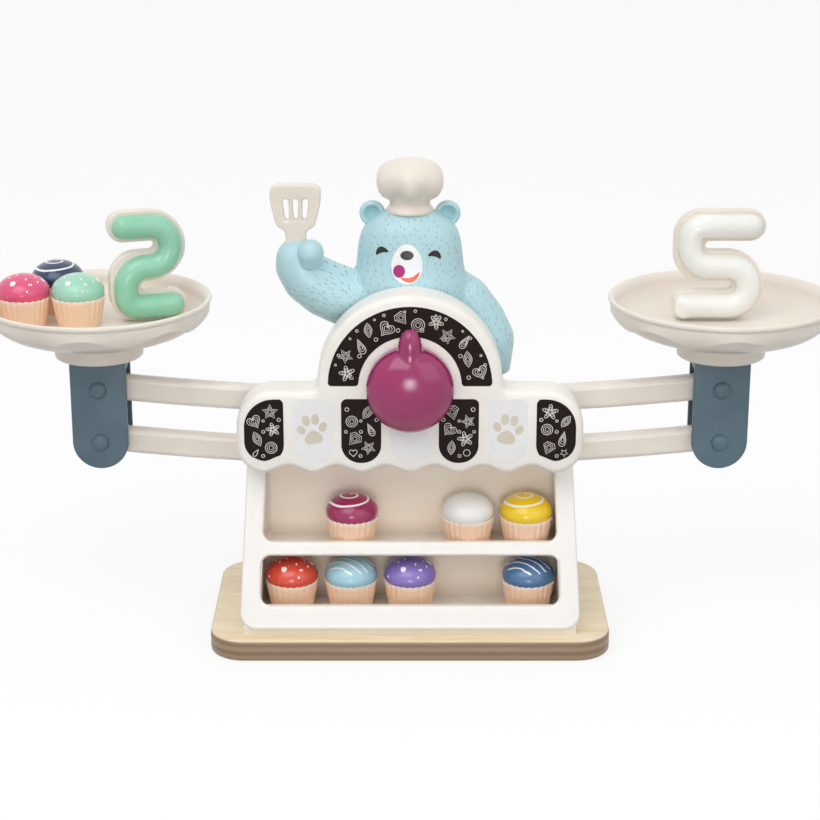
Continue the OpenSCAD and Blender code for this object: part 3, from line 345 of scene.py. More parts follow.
def moulded(name, colour, shade, roughness, coat=0.0, peel=0.05, cloud_scale=35.0):
    """Moulded plastic: faintly cloudy colour and the orange peel of the tool's surface."""
    material, tone, shader = blank(name)
    place = tone.node("TexCoord", out="Object")
    cloud = tone.noise(place, cloud_scale, 4.0, Roughness=0.55)
    skin = tone.noise(place, 1400.0, 2.0)
    feed(shader, Base_Color=cloud.step(0.3, 0.75).mix(colour, shade),
         Roughness=roughness + (cloud - 0.5) * 0.12, Coat_Weight=coat, Specular_IOR_Level=0.45,
         Normal=tone.node("Bump", {"Strength": peel, "Distance": 0.0002, "Height": skin}))
    return material


cream = moulded("cream_plastic", ink(243, 236, 226), ink(238, 229, 217), 0.34, coat=0.1)
for name in ("cabinet", "rear_cover"):
    dress(name, cream, tool_round)

# Shelf frame and lining. The cabinet's leaning front has a thick soft-edged border round both shelves, white
# where the shelves behind it are cream, with a small heel behind each lower corner. The shelf backs are
# smooth skins of a warmer cream.
lean = math.radians(23.75)
plinth_h, plinth_inset = 4.5 * mm, 2.5 * mm
frame_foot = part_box("base_board")[1].z + plinth_h
frame_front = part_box("cabinet")[0].y - plinth_inset
post_w = 13.3 * mm
border_out, border_in, border_round = 2.2 * mm, 2.5 * mm, 2.1 * mm
lower_open = (34.3 * mm, 65.2 * mm)
upper_open = 73.8 * mm
frame_top = 133 * mm
frame_corner, shelf_corner = 11 * mm, 7 * mm
cabinet_foot, cabinet_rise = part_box("base_board")[1].z, 116 * mm
cabinet_foot_half, cabinet_taper = 115 * mm, 4.5 * mm
heel_inset, heel_back, heel_up = 3.9 * mm, 4.2 * mm, 2.7 * mm
heel_size = (3 * mm, 4.6 * mm, 5.2 * mm)
cut_reach = 9 * mm
lining_gap, skin_front, skin_sunk = 0.6 * mm, 0.2, 0.1


def arc(cx, cz, radius, start, end, steps):
    """Points of an arc in a front view, from one angle to another."""
    angles = [math.radians(start + (end - start) * i / steps) for i in range(steps + 1)]
    return [(cx + radius * math.cos(a), cz + radius * math.sin(a)) for a in angles]


def outline_plate(name, outline, front, back):
    """A plate with the given front view, filled and drawn out from front to back."""
    bpy.ops.object.select_all(action="DESELECT")
    bpy.ops.mesh.primitive_circle_add(vertices=len(outline), fill_type="NGON")
    piece = bpy.context.object
    piece.name = name
    for vertex, (x, z) in zip(piece.data.vertices, outline):
        vertex.co = (x, front, z)
    edit(piece)
    bpy.ops.mesh.select_all(action="SELECT")
    bpy.ops.mesh.extrude_region_move(TRANSFORM_OT_translate={"value": (0, back - front, 0)})
    bpy.ops.mesh.select_all(action="SELECT")
    bpy.ops.mesh.normals_make_consistent(inside=False)
    bpy.ops.object.mode_set(mode="OBJECT")
    return piece


def joined(pieces):
    """Joins pieces into the first of them."""
    bpy.ops.object.select_all(action="DESELECT")
    for piece in pieces:
        piece.select_set(True)
    bpy.context.view_layer.objects.active = pieces[0]
    bpy.ops.object.join()
    return pieces[0]


def subtract(piece, cutter):
    """Cuts one piece out of another and throws the cutter away."""
    cut = piece.modifiers.new("cut", "BOOLEAN")
    cut.operation = "DIFFERENCE"
    cut.solver = "EXACT"
    cut.object = cutter
    only(piece)
    bpy.ops.object.modifier_apply(modifier="cut")
    bpy.data.objects.remove(cutter)


def cabinet_half(z):
    """Half of the cabinet's width at a height."""
    return cabinet_foot_half - cabinet_taper * (z - cabinet_foot) / cabinet_rise


def up_slope(z):
    """Distance along the leaning front from its foot to a height."""
    return (z - frame_foot) / math.cos(lean)


half, inner = cabinet_half(frame_foot), cabinet_half(upper_open) - post_w
top_half, top_s = cabinet_half(frame_top), up_slope(frame_top)
right = arc(half - frame_corner, frame_corner, frame_corner, -90, 0, 10)
right += [(top_half, top_s), (top_half - post_w, top_s)]
right += arc(inner - shelf_corner, up_slope(upper_open) + shelf_corner, shelf_corner, 0, -90, 8)
border = right + [(-x, z) for x, z in right[::-1]]
shelf_frame = outline_plate("shelf_frame", border, -border_out, border_in)
low_s, high_s = [up_slope(z) for z in lower_open]
inner = cabinet_half(lower_open[0]) - post_w - shelf_corner
window = arc(inner, low_s + shelf_corner, shelf_corner, -90, 0, 8)
window += arc(inner, high_s - shelf_corner, shelf_corner, 0, 90, 8)
window += [(-x, z) for x, z in window[::-1]]
subtract(shelf_frame, outline_plate("window", window, -cut_reach, cut_reach))
edit(shelf_frame)
pick(shelf_frame, "edges", lambda e: all(abs(v.co.y + border_out) < 1e-6 for v in e.verts))
bpy.ops.mesh.bevel(affect="EDGES", offset=border_round, segments=5)
outward()
shelf_frame.rotation_euler = (-lean, 0, 0)
shelf_frame.location = (0, frame_front, frame_foot)
heels = []
for side in (-1, 1):
    heel_at = (side * (half - heel_inset), frame_front + heel_back, frame_foot + heel_up)
    bpy.ops.mesh.primitive_cube_add(size=1, location=heel_at)
    bpy.context.object.scale = heel_size
    heels.append(bpy.context.object)
joined([shelf_frame] + heels)
frame_white = moulded("frame_white", ink(249, 246, 242), ink(246, 242, 237), 0.3, coat=0.15)
fit(shelf_frame, "shelf_frame", frame_white, "stand", "awning_white")
warm_cream = moulded("warm_cream", ink(250, 240, 226), ink(247, 235, 219), 0.36, coat=0.05)
for name, wall_y, low_z, high_z in (("lower_back", -10, 22, 62.6), ("upper_back", -2, 65.6, 130)):
    half = cabinet_half(high_z * mm) - post_w - lining_gap
    skin = [(-half, low_z * mm), (half, low_z * mm), (half, high_z * mm), (-half, high_z * mm)]
    lining = outline_plate(name, skin, (wall_y - skin_front) * mm, (wall_y + skin_sunk) * mm)
    fit(lining, name, warm_cream, "stand", "cream")

# Awning. One white moulding that hooks over the cabinet's front: seven scallops along its lower edge,
# two round-cornered wings and an arch behind the pointer knob, open at the back.
awning_low, awning_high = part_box("awning")
wing_half = awning_high.x
wing_top = 182 * mm
wing_corner = 25 * mm
scallop_corner = 18.75 * mm
knob_z = 186 * mm
arch_r = awning_high.z - knob_z
arch_fillet = 6 * mm
scallop_count, scallop_margin = 7, 2 * mm
scallop_w = (2 * wing_half - 2 * scallop_margin) / scallop_count
scallop_h = 2.5 * mm
scallop_mid = awning_low.z + scallop_h
awning_wall = 3 * mm
awning_round = 4 * mm


def awning_outline():
    """The awning's front view, anticlockwise from the middle of its lower edge."""
    flat_half = wing_half - scallop_corner
    steps = 42
    across = [flat_half * i / steps for i in range(steps)]
    wave = [(x, scallop_mid - scallop_h * math.cos(math.tau * x / scallop_w)) for x in across]
    fillet_z = wing_top + arch_fillet
    fillet_x = math.sqrt((arch_r + arch_fillet) ** 2 - (fillet_z - knob_z) ** 2)
    tip = math.degrees(math.atan2(fillet_z - knob_z, fillet_x))
    right = (wave + arc(flat_half, awning_low.z + scallop_corner, scallop_corner, -90, 0, 10)
             + arc(wing_half - wing_corner, wing_top - wing_corner, wing_corner, 0, 90, 12)
             + arc(fillet_x, fillet_z, arch_fillet, 270, 180 + tip, 6)
             + arc(0, knob_z, arch_r, tip, 90, 24)[1:])
    return right + [(-x, z) for x, z in right[-2:0:-1]]


awning = outline_plate("awning", awning_outline(), awning_low.y, awning_high.y)
edit(awning)
pick(awning, "faces", lambda f: f.normal.y > 0.9)
bpy.ops.mesh.inset(thickness=awning_wall)
bpy.ops.mesh.extrude_region_move(
    TRANSFORM_OT_translate={"value": (0, awning_low.y - awning_high.y + awning_wall, 0)})
pick(awning, "edges", lambda e: all(abs(v.co.y - awning_low.y) < 1e-6 for v in e.verts))
bpy.ops.mesh.bevel(affect="EDGES", offset=awning_round, segments=5)
outward()
milk = moulded("milk_white_plastic", ink(247, 243, 237), ink(241, 235, 227), 0.32, coat=0.15)
fit(awning, "awning_fascia", milk, "stand", "awning_white", "awning")

# Printed plates. Thin plastic plates lie in recesses of the awning: dark ones with small white line
# motifs, and pale ones, two of them with a paw print. The print is flat ink that is hardly raised at all.
plate_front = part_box("arch_inlay")[0].y
print_lift = 0.06 * mm
line_w = 0.42 * mm

dark, tone, shader = blank("dark_plate")
place = tone.node("TexCoord", out="Object")
speck = tone.noise(place, 500.0, 3.0)
feed(shader, Base_Color=speck.mix(ink(26, 17, 16), ink(36, 25, 23)), Roughness=0.55 + speck * 0.14,
     Specular_IOR_Level=0.12)
for name in ("arch_inlay", "outer_inlays", "inner_inlays"):
    dress(name, dark)
pale = moulded("pale_plate", ink(239, 238, 238), ink(237, 236, 236), 0.28, coat=0.2)
for name in ("paw_inlays", "centre_inlay"):
    dress(name, pale)


def ring_points(count, radius, start=0):
    """Points evenly set round a ring."""
    angles = [math.tau * i / count + start for i in range(count)]
    return [(radius * math.cos(a), radius * math.sin(a)) for a in angles]


def star():
    reach = (1, 0.45)
    return [(x * reach[i % 2], z * reach[i % 2]) for i, (x, z) in enumerate(ring_points(10, 1, math.pi / 2))]


def heart():
    points = []
    for i in range(28):
        t = math.tau * i / 28
        lobes = 0.8 * math.cos(t) - 0.31 * math.cos(2 * t) - 0.12 * math.cos(3 * t) - 0.06 * math.cos(4 * t)
        points.append((0.95 * math.sin(t) ** 3, lobes))
    return points


def petals():
    reach = [0.68 + 0.32 * math.cos(5 * math.tau * i / 50) for i in range(50)]
    return [(x * r, z * r) for r, (x, z) in zip(reach, ring_points(50, 1))]


def leaf():
    side = [(math.sin(math.pi * i / 12) * 0.5, -1 + 2 * i / 12) for i in range(13)]
    return side + [(-x, z) for x, z in side[-2:0:-1]]


def drop():
    turns = [math.tau * i / 24 for i in range(24)]
    return [(0.62 * math.sin(t) * math.sin(t / 2) ** 1.5, math.cos(t)) for t in turns]


def gem():
    return [(0, -1), (0.85, 0.25), (0.5, 0.75), (-0.5, 0.75), (-0.85, 0.25)]


def grown(points, reach):
    """An outline moved outwards, or inwards, by an even distance."""
    count, moved = len(points), []
    for i in range(count):
        before, after = points[i - 1], points[(i + 1) % count]
        tx, tz = after[0] - before[0], after[1] - before[1]
        size = math.hypot(tx, tz) or 1
        moved.append((points[i][0] + tz / size * reach, points[i][1] - tx / size * reach))
    return moved


def ribbon(points, width):
    """The two edges of a closed line of even width."""
    return grown(points, width / 2), grown(points, -width / 2)


def print_lines(shapes, depth):
    """Flat print: each shape is a closed line's outer and inner edge, or a filled outline and None."""
    bpy.ops.object.select_all(action="DESELECT")
    made = []
    for outer, inner in shapes:
        count = len(outer)
        bpy.ops.mesh.primitive_circle_add(vertices=count, fill_type="NOTHING")
        piece = bpy.context.object
        for vertex, (x, z) in zip(piece.data.vertices, outer):
            vertex.co = (x, depth, z)
        edit(piece)
        bpy.ops.mesh.select_all(action="SELECT")
        if inner is None:
            bpy.ops.mesh.edge_face_add()
        else:
            bpy.ops.mesh.extrude_edges_move(TRANSFORM_OT_translate={"value": (0, 0, 0)})
        bpy.ops.object.mode_set(mode="OBJECT")
        if inner is not None:
            for vertex, (x, z) in zip(list(piece.data.vertices)[count:], inner):
                vertex.co = (x, depth, z)
        made.append(piece)
    piece = joined(made)
    edit(piece)
    bpy.ops.mesh.select_all(action="SELECT")
    bpy.ops.mesh.normals_make_consistent(inside=False)
    bpy.ops.object.mode_set(mode="OBJECT")
    if piece.data.polygons[0].normal.y > 0:
        piece.data.flip_normals()
    return piece


def motif(shape, x, z, size, turn):
    """A motif's points, turned and set in its place."""
    c, s = math.cos(turn), math.sin(turn)
    return [(x + size * (px * c - pz * s), z + size * (px * s + pz * c)) for px, pz in shape]


figures = [star(), heart(), petals(), leaf(), ring_points(20, 0.8), drop(), gem()]
panel_mid = (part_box("inner_inlays")[0].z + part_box("inner_inlays")[1].z) / 2
spots = []
panel_spots = ((-4.4, 13.4, 5.4), (6.2, 6.8, 4.8), (-6.2, 1.2, 4.7), (4.4, -5.4, 5.3), (-4.8, -11.6, 4.9),
               (5.4, -15.2, 2.8), (9.4, 15.2, 1.6), (-10.2, 8.0, 1.4), (0.2, -0.4, 1.3), (0.2, 7.2, 1.0),
               (0.6, -17.4, 1.3), (10.2, -0.4, 1.2))
ring_kind = 4
for panel, column in enumerate((-3, -1, 1, 3)):
    for row, (dx, dz, size) in enumerate(panel_spots):
        if abs(column) == 1 or dx < 9:
            flip = 1 if column > 0 else -1
            kind = panel * 3 + row if size > 2 else ring_kind
            spots.append((kind, column * scallop_w + flip * dx * mm, panel_mid + dz * mm, size * mm))
for i in range(12):
    angle = math.radians(12 + 156 * i / 11)
    radius = (47.2 if i % 2 == 0 else 42.4) * mm
    size = (5.4 if i % 2 else 5.0) * mm
    spots.append((i * 2 + 1, radius * math.cos(angle), knob_z + radius * math.sin(angle), size))
for i in range(22):
    angle = math.radians(9 + 162 * i / 21)
    radius = (39.2, 51.6, 51.2)[i % 3] * mm
    size = (1.5, 1.1, 0.8)[i % 3] * mm
    spots.append((ring_kind, radius * math.cos(angle), knob_z + radius * math.sin(angle), size))
shapes = []
for i, (kind, x, z, size) in enumerate(spots):
    shape = figures[kind % len(figures)]
    tilt = 0.7 * math.sin(2.3 * i)
    shapes.append(ribbon(motif(shape, x, z, size, tilt), line_w))
    for share in (0.68, 0.36) if size > 4 * mm else ():
        shapes.append(ribbon(motif(shape, x, z, size * share, tilt), line_w * 0.8))
chalk = moulded("white_print", ink(238, 234, 228), ink(222, 216, 208), 0.5)
motifs = print_lines(shapes, plate_front - print_lift)
fit(motifs, "white_motifs", chalk, "stand", "pale_panel")

paw_toes = ((-6.6, 1.2, 2.3, 3.1, 0.5), (-2.7, 6.6, 2.4, 3.4, 0.12),
            (2.9, 6.6, 2.4, 3.4, -0.12), (6.8, 1.2, 2.3, 3.1, -0.5))
paw_turn = 0.16
shapes = []
for side in (-1, 1):
    middle = side * 2 * scallop_w
    for x, z, w, h, turn in paw_toes:
        toe = [(w / h * px, pz) for px, pz in ring_points(20, 1)]
        toe = motif(toe, 1.1 * x * mm, (1.1 * z + 0.6) * mm, 1.12 * h * mm, turn)
        shapes.append((motif(toe, middle, panel_mid, 1, -paw_turn * side), None))
    pad = [(px * (1.05 - 0.18 * pz), 0.82 * pz - 0.16 * abs(px)) for px, pz in ring_points(28, 1)]
    pad = motif(pad, 0, -4.2 * mm, 5.8 * mm, 0)
    shapes.append((motif(pad, middle, panel_mid, 1, -paw_turn * side), None))
sand = moulded("sand_print", ink(219, 209, 193), ink(211, 199, 182), 0.45)
paws = print_lines(shapes, plate_front - print_lift)
fit(paws, "paw_prints", sand, "stand", "pale_panel")

# Bear. A hollow figure rotocast in pale blue vinyl-like plastic, one arm raised, set on the two bearing
# towers behind the arch. Its coat is printed with short grey-blue hair strokes.
bear_y = 6 * mm
trunk_depth_share = 0.68
hem_z, tower_half, tower_top = 182, 13.6, 200
past_x, past_front, past_back, past_low = 130, -80, 90, 120
bell = ((0, 174), (55, 174), (54, 182), (50.5, 199), (46.5, 213), (42.5, 227), (40.2, 239), (38.6, 247),
        (36.9, 253), (35.9, 259), (35.2, 266), (34.4, 272), (32.9, 278), (30.4, 283), (27, 287),
        (22.5, 290.4), (16.5, 293.4), (9, 295.3), (0, 296))
raised_arm = ((-30, 6, 231, 20), (-44, 6, 233.5, 19.8), (-57, 5, 239.5, 19.4), (-68, 3.5, 247, 17.8),
              (-74.6, 2.5, 255.5, 15.6), (-75.4, 2, 260.5, 14.5))
lowered_arm = ((26, 11, 236, 18), (36, 11, 228, 19.4), (45.5, 10, 214, 20), (50, 9, 202.5, 21),
               (49, 8, 187, 20))
arm_spacing = 2.2


def in_mm(points):
    """A run of points that is written in millimetres."""
    return [(a * mm, b * mm) for a, b in points]


def turned(name, middle, rings, columns, shape=None, axis="Z"):
    """A skin turned about an axis from a run of radii and heights; shape may bend it by angle."""
    bpy.ops.object.select_all(action="DESELECT")
    bpy.ops.mesh.primitive_grid_add(x_subdivisions=columns, y_subdivisions=len(rings) - 1, size=1)
    piece = bpy.context.object
    piece.name = name
    across = columns + 1
    for index, vertex in enumerate(piece.data.vertices):
        row, column = divmod(index, across)
        angle = math.tau * column / columns
        radius, height = rings[row]
        if shape:
            radius, height = shape(angle, row, radius, height)
        x, y, z = radius * math.cos(angle), radius * math.sin(angle), height
        if axis == "Y":
            x, y, z = x, -z, y
        vertex.co = (middle[0] + x, middle[1] + y, middle[2] + z)
    edit(piece)
    bpy.ops.mesh.select_all(action="SELECT")
    bpy.ops.mesh.remove_doubles(threshold=2e-6)
    bpy.ops.mesh.normals_make_consistent(inside=False)
    bpy.ops.object.mode_set(mode="OBJECT")
    return piece


def strung(beads, spacing):
    """Balls set closely along a line, each given by its place and radius, with more put between them."""
    balls = []
    for a, b in zip(beads, beads[1:]):
        between = max(1, math.ceil(math.dist(a[:3], b[:3]) / spacing))
        balls += [[p + (q - p) * i / between for p, q in zip(a, b)] for i in range(between)]
    return balls + [list(beads[-1])]


def swell(name, balls, voxel, passes, core=()):
    """Joins balls, and cores already made, into one soft skin, as clay is pressed together and smoothed."""
    lumps = list(core)
    for x, y, z, radius in balls:
        bpy.ops.mesh.primitive_uv_sphere_add(segments=40, ring_count=24, radius=radius * mm,
                                             location=(x * mm, y * mm, z * mm))
        lumps.append(bpy.context.object)
    piece = joined(lumps)
    piece.name = name
    bpy.ops.object.transform_apply(location=True, rotation=True, scale=True)
    reskin(piece, voxel, passes)
    return piece


def reskin(piece, voxel, passes):
    """Closes a piece in one even skin and smooths it."""
    bpy.context.view_layer.objects.active = piece
    piece.data.remesh_voxel_size = voxel
    bpy.ops.object.voxel_remesh()
    soften(piece, passes)


def soften(piece, passes):
    """Smooths a skin, as sanding would."""
    smooth = piece.modifiers.new("soften", "SMOOTH")
    smooth.factor = 0.5
    smooth.iterations = passes
    bpy.context.view_layer.objects.active = piece
    bpy.ops.object.modifier_apply(modifier="soften")


def cut_away(piece, low_corner, high_corner):
    """Cuts a box, given by two corners in millimetres, out of a piece."""
    bpy.ops.object.select_all(action="DESELECT")
    box_mid = [(a + b) / 2 * mm for a, b in zip(low_corner, high_corner)]
    box_size = [(b - a) * mm for a, b in zip(low_corner, high_corner)]
    bpy.ops.mesh.primitive_cube_add(size=1, location=box_mid, scale=box_size)
    box = bpy.context.object
    bpy.ops.object.transform_apply(location=True, rotation=True, scale=True)
    subtract(piece, box)


trunk = turned("trunk", (0, 0, 0), in_mm(bell), 96)
trunk.scale.y = trunk_depth_share
trunk.location.y = bear_y
arms = strung(raised_arm, arm_spacing) + strung(lowered_arm, arm_spacing)
bear = swell("bear", arms, 1.1 * mm, 16, core=[trunk])
cut_away(bear, (-past_x, past_front, past_low), (past_x, past_back, hem_z))
cut_away(bear, (-tower_half, past_front, past_low), (tower_half, past_back, tower_top))

fur, tone, shader = blank("blue_coat")
place = tone.node("TexCoord", out="Object")
cloud = tone.noise(place, 22.0, 3.0)
hair_w, hair_depth = 4.8, 9
cells = tone.node("Mapping", {0: place, 3: (1 / (hair_w * mm), 1 / (hair_depth * mm), 1 / (hair_w * mm))})
scatter = {"Vector": cells, "Scale": 1.0, "Randomness": 0.8}
seed = tone.node("TexVoronoi", scatter, out="Position", feature="F1")
chance = tone.node("TexVoronoi", scatter, out="Color", feature="F1")
apart = tone.node("VectorMath", {0: cells, 1: seed}, operation="SUBTRACT")
dx, dz = [apart.part(i) * hair_w for i in (0, 2)]
tilt = (chance.part(0) - 0.5) * 0.7
sideways = place.part(0)
height = place.part(2)
on_arm = 1 - sideways.step(-46 * mm, -38 * mm)
across = abs(on_arm * (dx * 0.6 + dz * 0.8) + (1 - on_arm) * (dx + tilt * dz))
along = abs(on_arm * (dz * 0.34 - dx * 0.46) + (1 - on_arm) * dz)
strokes = (1 - across.step(0.14, 0.27)) * (1 - along.step(0.7, 0.95))
paw = (1 - sideways.step(-66 * mm, -60 * mm)) * height.step(244 * mm, 250 * mm)
ears = abs(sideways).step(18 * mm, 20 * mm) * height.step(280 * mm, 282 * mm)
coat = cloud.step(0.3, 0.75).mix(ink(186, 221, 227), ink(176, 214, 221))
hair = strokes * (1 - paw) * (1 - ears) * 0.8
feed(shader, Base_Color=hair.mix(coat, ink(104, 134, 152)), Roughness=0.34 + cloud * 0.08, Coat_Weight=0.12)
fit(bear, "bear", fur, "stand", "bear_blue", "bear_body", angle=60)

# Thumb and ears. The thumb is a ball pressed over the spatula's stem; each ear is a thick round ring
# about a shallow hollow of slightly deeper blue.
deep_coat = moulded("ear_blue", ink(168, 208, 216), ink(160, 201, 210), 0.42)
bare_skin = moulded("paw_blue", ink(186, 221, 227), ink(176, 214, 221), 0.36, coat=0.12)
thumb = swell("thumb", ((-66, -10, 268, 8.9), (-66.4, -8, 263.5, 8.4)), 0.7 * mm, 8)
fit(thumb, "thumb", bare_skin, "stand", "bear_blue", angle=60)
ear_ring = ((0, -4), (6.5, -4), (8.0, -2.4), (8.6, 0.4), (8.3, 2.8), (7.4, 4.2), (6.3, 4.3), (5.5, 3.5),
            (5.0, 2.2), (4.4, 1.4))
ear_x, ear_y, ear_z = 25.2 * mm, 8 * mm, 291 * mm
ear_hollow = ((5.0, 1.0), (4.6, 1.5), (3.4, 0.9), (1.8, 0.6), (0, 0.5))
for side, name in ((-1, "left_ear"), (1, "right_ear")):
    ear_mid = (side * ear_x, ear_y, ear_z)
    ring = turned(name, ear_mid, in_mm(ear_ring), 64, axis="Y")
    fit(ring, name, fur, "stand", "bear_blue", angle=60)
    hollow = turned(name, ear_mid, in_mm(ear_hollow), 64, axis="Y")
    fit(hollow, name + "_hollow", deep_coat, "stand", "bear_blue", angle=60)

# Face. Pad-printed on the bear: a white muzzle with a black nose, two smiling closed eyes, a tongue tip
# at the corner of the mouth and an orange lip.
muzzle_white = moulded("muzzle_white", ink(246, 247, 250), ink(238, 240, 244), 0.35)
face_black = moulded("face_black", ink(24, 22, 24), ink(34, 31, 33), 0.3)
tongue_pink = moulded("tongue_pink", ink(176, 24, 116), ink(160, 20, 104), 0.35)
lip_orange = moulded("lip_orange", ink(238, 106, 62), ink(228, 94, 52), 0.35)


def on_front(piece, x, z):
    """The depth of a piece's skin seen from the front at x and z."""
    hit, spot, _, _ = piece.ray_cast(Vector((x, -1, z)), Vector((0, 1, 0)))
    return spot.y if hit else 0.0


def decal(name, spot, material, slot, lift):
    """A small printed figure laid on the bear's front; spot gives its points for u and v from -1 to 1."""
    bpy.ops.object.select_all(action="DESELECT")
    bpy.ops.mesh.primitive_grid_add(x_subdivisions=24, y_subdivisions=12, size=2)
    piece = bpy.context.object
    for vertex in piece.data.vertices:
        x, z = spot(vertex.co.x, vertex.co.y)
        vertex.co = (x * mm, on_front(bear, x * mm, z * mm) - lift * mm, z * mm)
    if piece.data.polygons[0].normal.y > 0:
        piece.data.flip_normals()
    return fit(piece, name, material, "stand", slot)


def oval(x, z, half_w, half_h, taper=0.0):
    """A filled oval, wider below when it tapers."""
    return lambda u, v: (x + half_w * u * math.sqrt(1 - v * v / 2) * (1 - taper * v),
                         z + half_h * v * math.sqrt(1 - u * u / 2))


def crescent(x, z, half_w, rise, thick, turn):
    """A bent stroke, thicker in its middle."""
    def spot(u, v):
        px, pz = half_w * u, rise * (1 - u * u) + v * thick / 2 * math.sqrt(1 - u * u)
        return x + px * math.cos(turn) - pz * math.sin(turn), z + px * math.sin(turn) + pz * math.cos(turn)
    return spot


decal("muzzle", oval(-2, 262, 10.4, 13.2, 0.06), muzzle_white, "face_white", 0.15)
decal("nose", oval(-2, 268, 4.4, 3.1), face_black, "dark_panel", 0.35)
decal("left_eye", crescent(-18.4, 268.8, 4.4, 2.3, 4.0, 0.32), face_black, "dark_panel", 0.2)
decal("right_eye", crescent(16.2, 266.4, 4.6, 2.3, 4.1, -0.3), face_black, "dark_panel", 0.2)
decal("lip", crescent(0, 254.8, 6.6, -3.2, 3.2, 0.3), lip_orange, "icing_red", 0.3)
decal("tongue", oval(-7.2, 257.4, 3.9, 4.2), tongue_pink, "knob_magenta", 0.45)

# Chef's hat. A cream blow-moulding: a beaded band, a drawn-in neck and a puffed crown of soft lobes,
# pressed on the flat of the bear's head.
hat_low, hat_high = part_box("chef_hat")
hat_x, hat_y = (hat_low.x + hat_high.x) / 2, (hat_low.y + hat_high.y) / 2
hat_rings = [(0, 2.4), (13.6, 2.4), (15.4, 2.9), (16.2, 4.2), (15.9, 5.6), (14.8, 6.5), (13.9, 7.6),
             (13.5, 9.6), (13.7, 11.6), (14.8, 13.4), (17.2, 15), (19.8, 16.9), (21.8, 19.4), (23.0, 22.6),
             (23.3, 26), (22.6, 29.6), (20.6, 33), (17.0, 35.9), (12, 37.9), (6, 38.9), (0, 39.1)]
lobe_count, lobe_share, lobe_drop = 6, 0.06, 2.4 * mm


def puffed(angle, row, radius, height):
    """Soft lobes that grow from the neck into the crown."""
    up = height / mm
    share = max(0.0, min(1.0, (up - 11) / 6)) * max(0.0, min(1.0, (37 - up) / 10))
    lobe = share * math.cos(lobe_count * angle + math.pi)
    return radius * (1 + lobe_share * lobe), height - lobe_drop * lobe * max(0, (26 - up) / 12)


hat = turned("chef_hat", (hat_x, hat_y, hat_low.z), in_mm(hat_rings), 120, puffed)
soften(hat, 3)
ivory = moulded("ivory_plastic", ink(238, 229, 217), ink(232, 221, 207), 0.28, coat=0.3)
fit(hat, "hat", ivory, "stand", "cream", "chef_hat", angle=60)

# Spatula. A thick soft-edged cream moulding with three slots that narrow downwards, its stem pushed
# into the closed paw.
blade_low, blade_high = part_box("spatula")
blade_x, blade_top = (blade_low.x + blade_high.x) / 2, blade_high.z
blade_half, blade_corner, stem_half, blade_puff = 17.2, 6, 7, 1.6 * mm
slot_pitch, slot_r, slot_end_r, slot_lean = 6.6 * mm, 2.0 * mm, 1.4 * mm, 0.8 * mm
slot_top, slot_low = 11.5 * mm, 23 * mm
left_side = [(blade_half - 0.8, 14), (blade_half - 3.2, 24), (12.4, 28.4), (stem_half + 0.8, 31),
             (stem_half, 33)]
corner_x, corner_z = (blade_half - blade_corner) * mm, blade_top - blade_corner * mm
blade = arc(blade_x + corner_x, corner_z, blade_corner * mm, 0, 90, 8)
blade += arc(blade_x - corner_x, corner_z, blade_corner * mm, 90, 180, 8)
left_side = [(blade_x - x * mm, blade_top - down * mm) for x, down in left_side]
left_side += [(blade_x - stem_half * mm, blade_low.z)]
blade += left_side + [(2 * blade_x - x, z) for x, z in left_side[::-1]]
turner = outline_plate("spatula", blade, blade_low.y - blade_puff, blade_high.y + blade_puff)
for column in (-1, 0, 1):
    slot_x = blade_x + column * slot_pitch
    slot = arc(slot_x, blade_top - slot_top, slot_r, 0, 180, 10)
    slot += arc(slot_x - column * slot_lean, blade_top - slot_low, slot_end_r, 180, 360, 10)
    subtract(turner, outline_plate("slot", slot, blade_low.y - cut_reach, blade_high.y + cut_reach))
reskin(turner, 0.6 * mm, 22)
fit(turner, "turner", ivory, "stand", "cream", "spatula", angle=60)

# Pointer knob. A glossy dome of deep magenta plastic pressed on the upper axle, with a blunt pointer
# that shows on the arch which pan is heavier.
knob_low, knob_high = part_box("pointer_knob")
knob_back = knob_high.y
knob_r = (knob_high.x - knob_low.x) / 2
knob_t = knob_back - knob_low.y


def quarter(steps):
    """The angles of a quarter turn."""
    return [math.pi / 2 * i / steps for i in range(steps + 1)]


dome = [(0, 0), (knob_r * 0.93, 0), (knob_r * 0.985, knob_t * 0.05), (knob_r, knob_t * 0.12)]
dome += [(knob_r * math.cos(a), knob_t * (0.3 + 0.7 * math.sin(a))) for a in quarter(24)]
knob = turned("knob", (0, knob_back, knob_z), dome, 96, axis="Y")
point_w, point_low, point_neck, point_out = 8.2 * mm, 20 * mm, 26 * mm, 1.2 * mm
point_top = knob_high.z - knob_z
point = [(0, 0), (point_w * 1.25, 0), (point_w * 1.15, point_low), (point_w, point_neck)]
rise = quarter(14)[1:-1]
point += [(point_w * math.cos(a) ** 0.8, point_neck + (point_top - point_neck) * math.sin(a)) for a in rise]
pointer = turned("pointer", (0, knob_back - point_w - point_out, knob_z), point + [(0, point_top)], 48)
joined([knob, pointer])
reskin(knob, 0.7 * mm, 10)
magenta = moulded("magenta_gloss", ink(158, 26, 96), ink(146, 22, 88), 0.2, coat=0.5, peel=0.03)
fit(knob, "knob", magenta, "tilting_beam", "knob_magenta", "pointer_knob", angle=60)

# Bearings. White nylon bushes with a flange towards the beam, pressed into the towers.
nylon = moulded("white_nylon", ink(232, 232, 228), ink(222, 222, 218), 0.5)
for name in ("front_bush", "rear_bush"):
    dress(name, nylon, 0.2 * mm)

# Beams. Two long cream mouldings of even section, slightly bent, one above the other; both turn on the
# middle of the stand and carry the uprights at their ends.
for name in ("upper_beam", "lower_beam"):
    dress(name, cream)

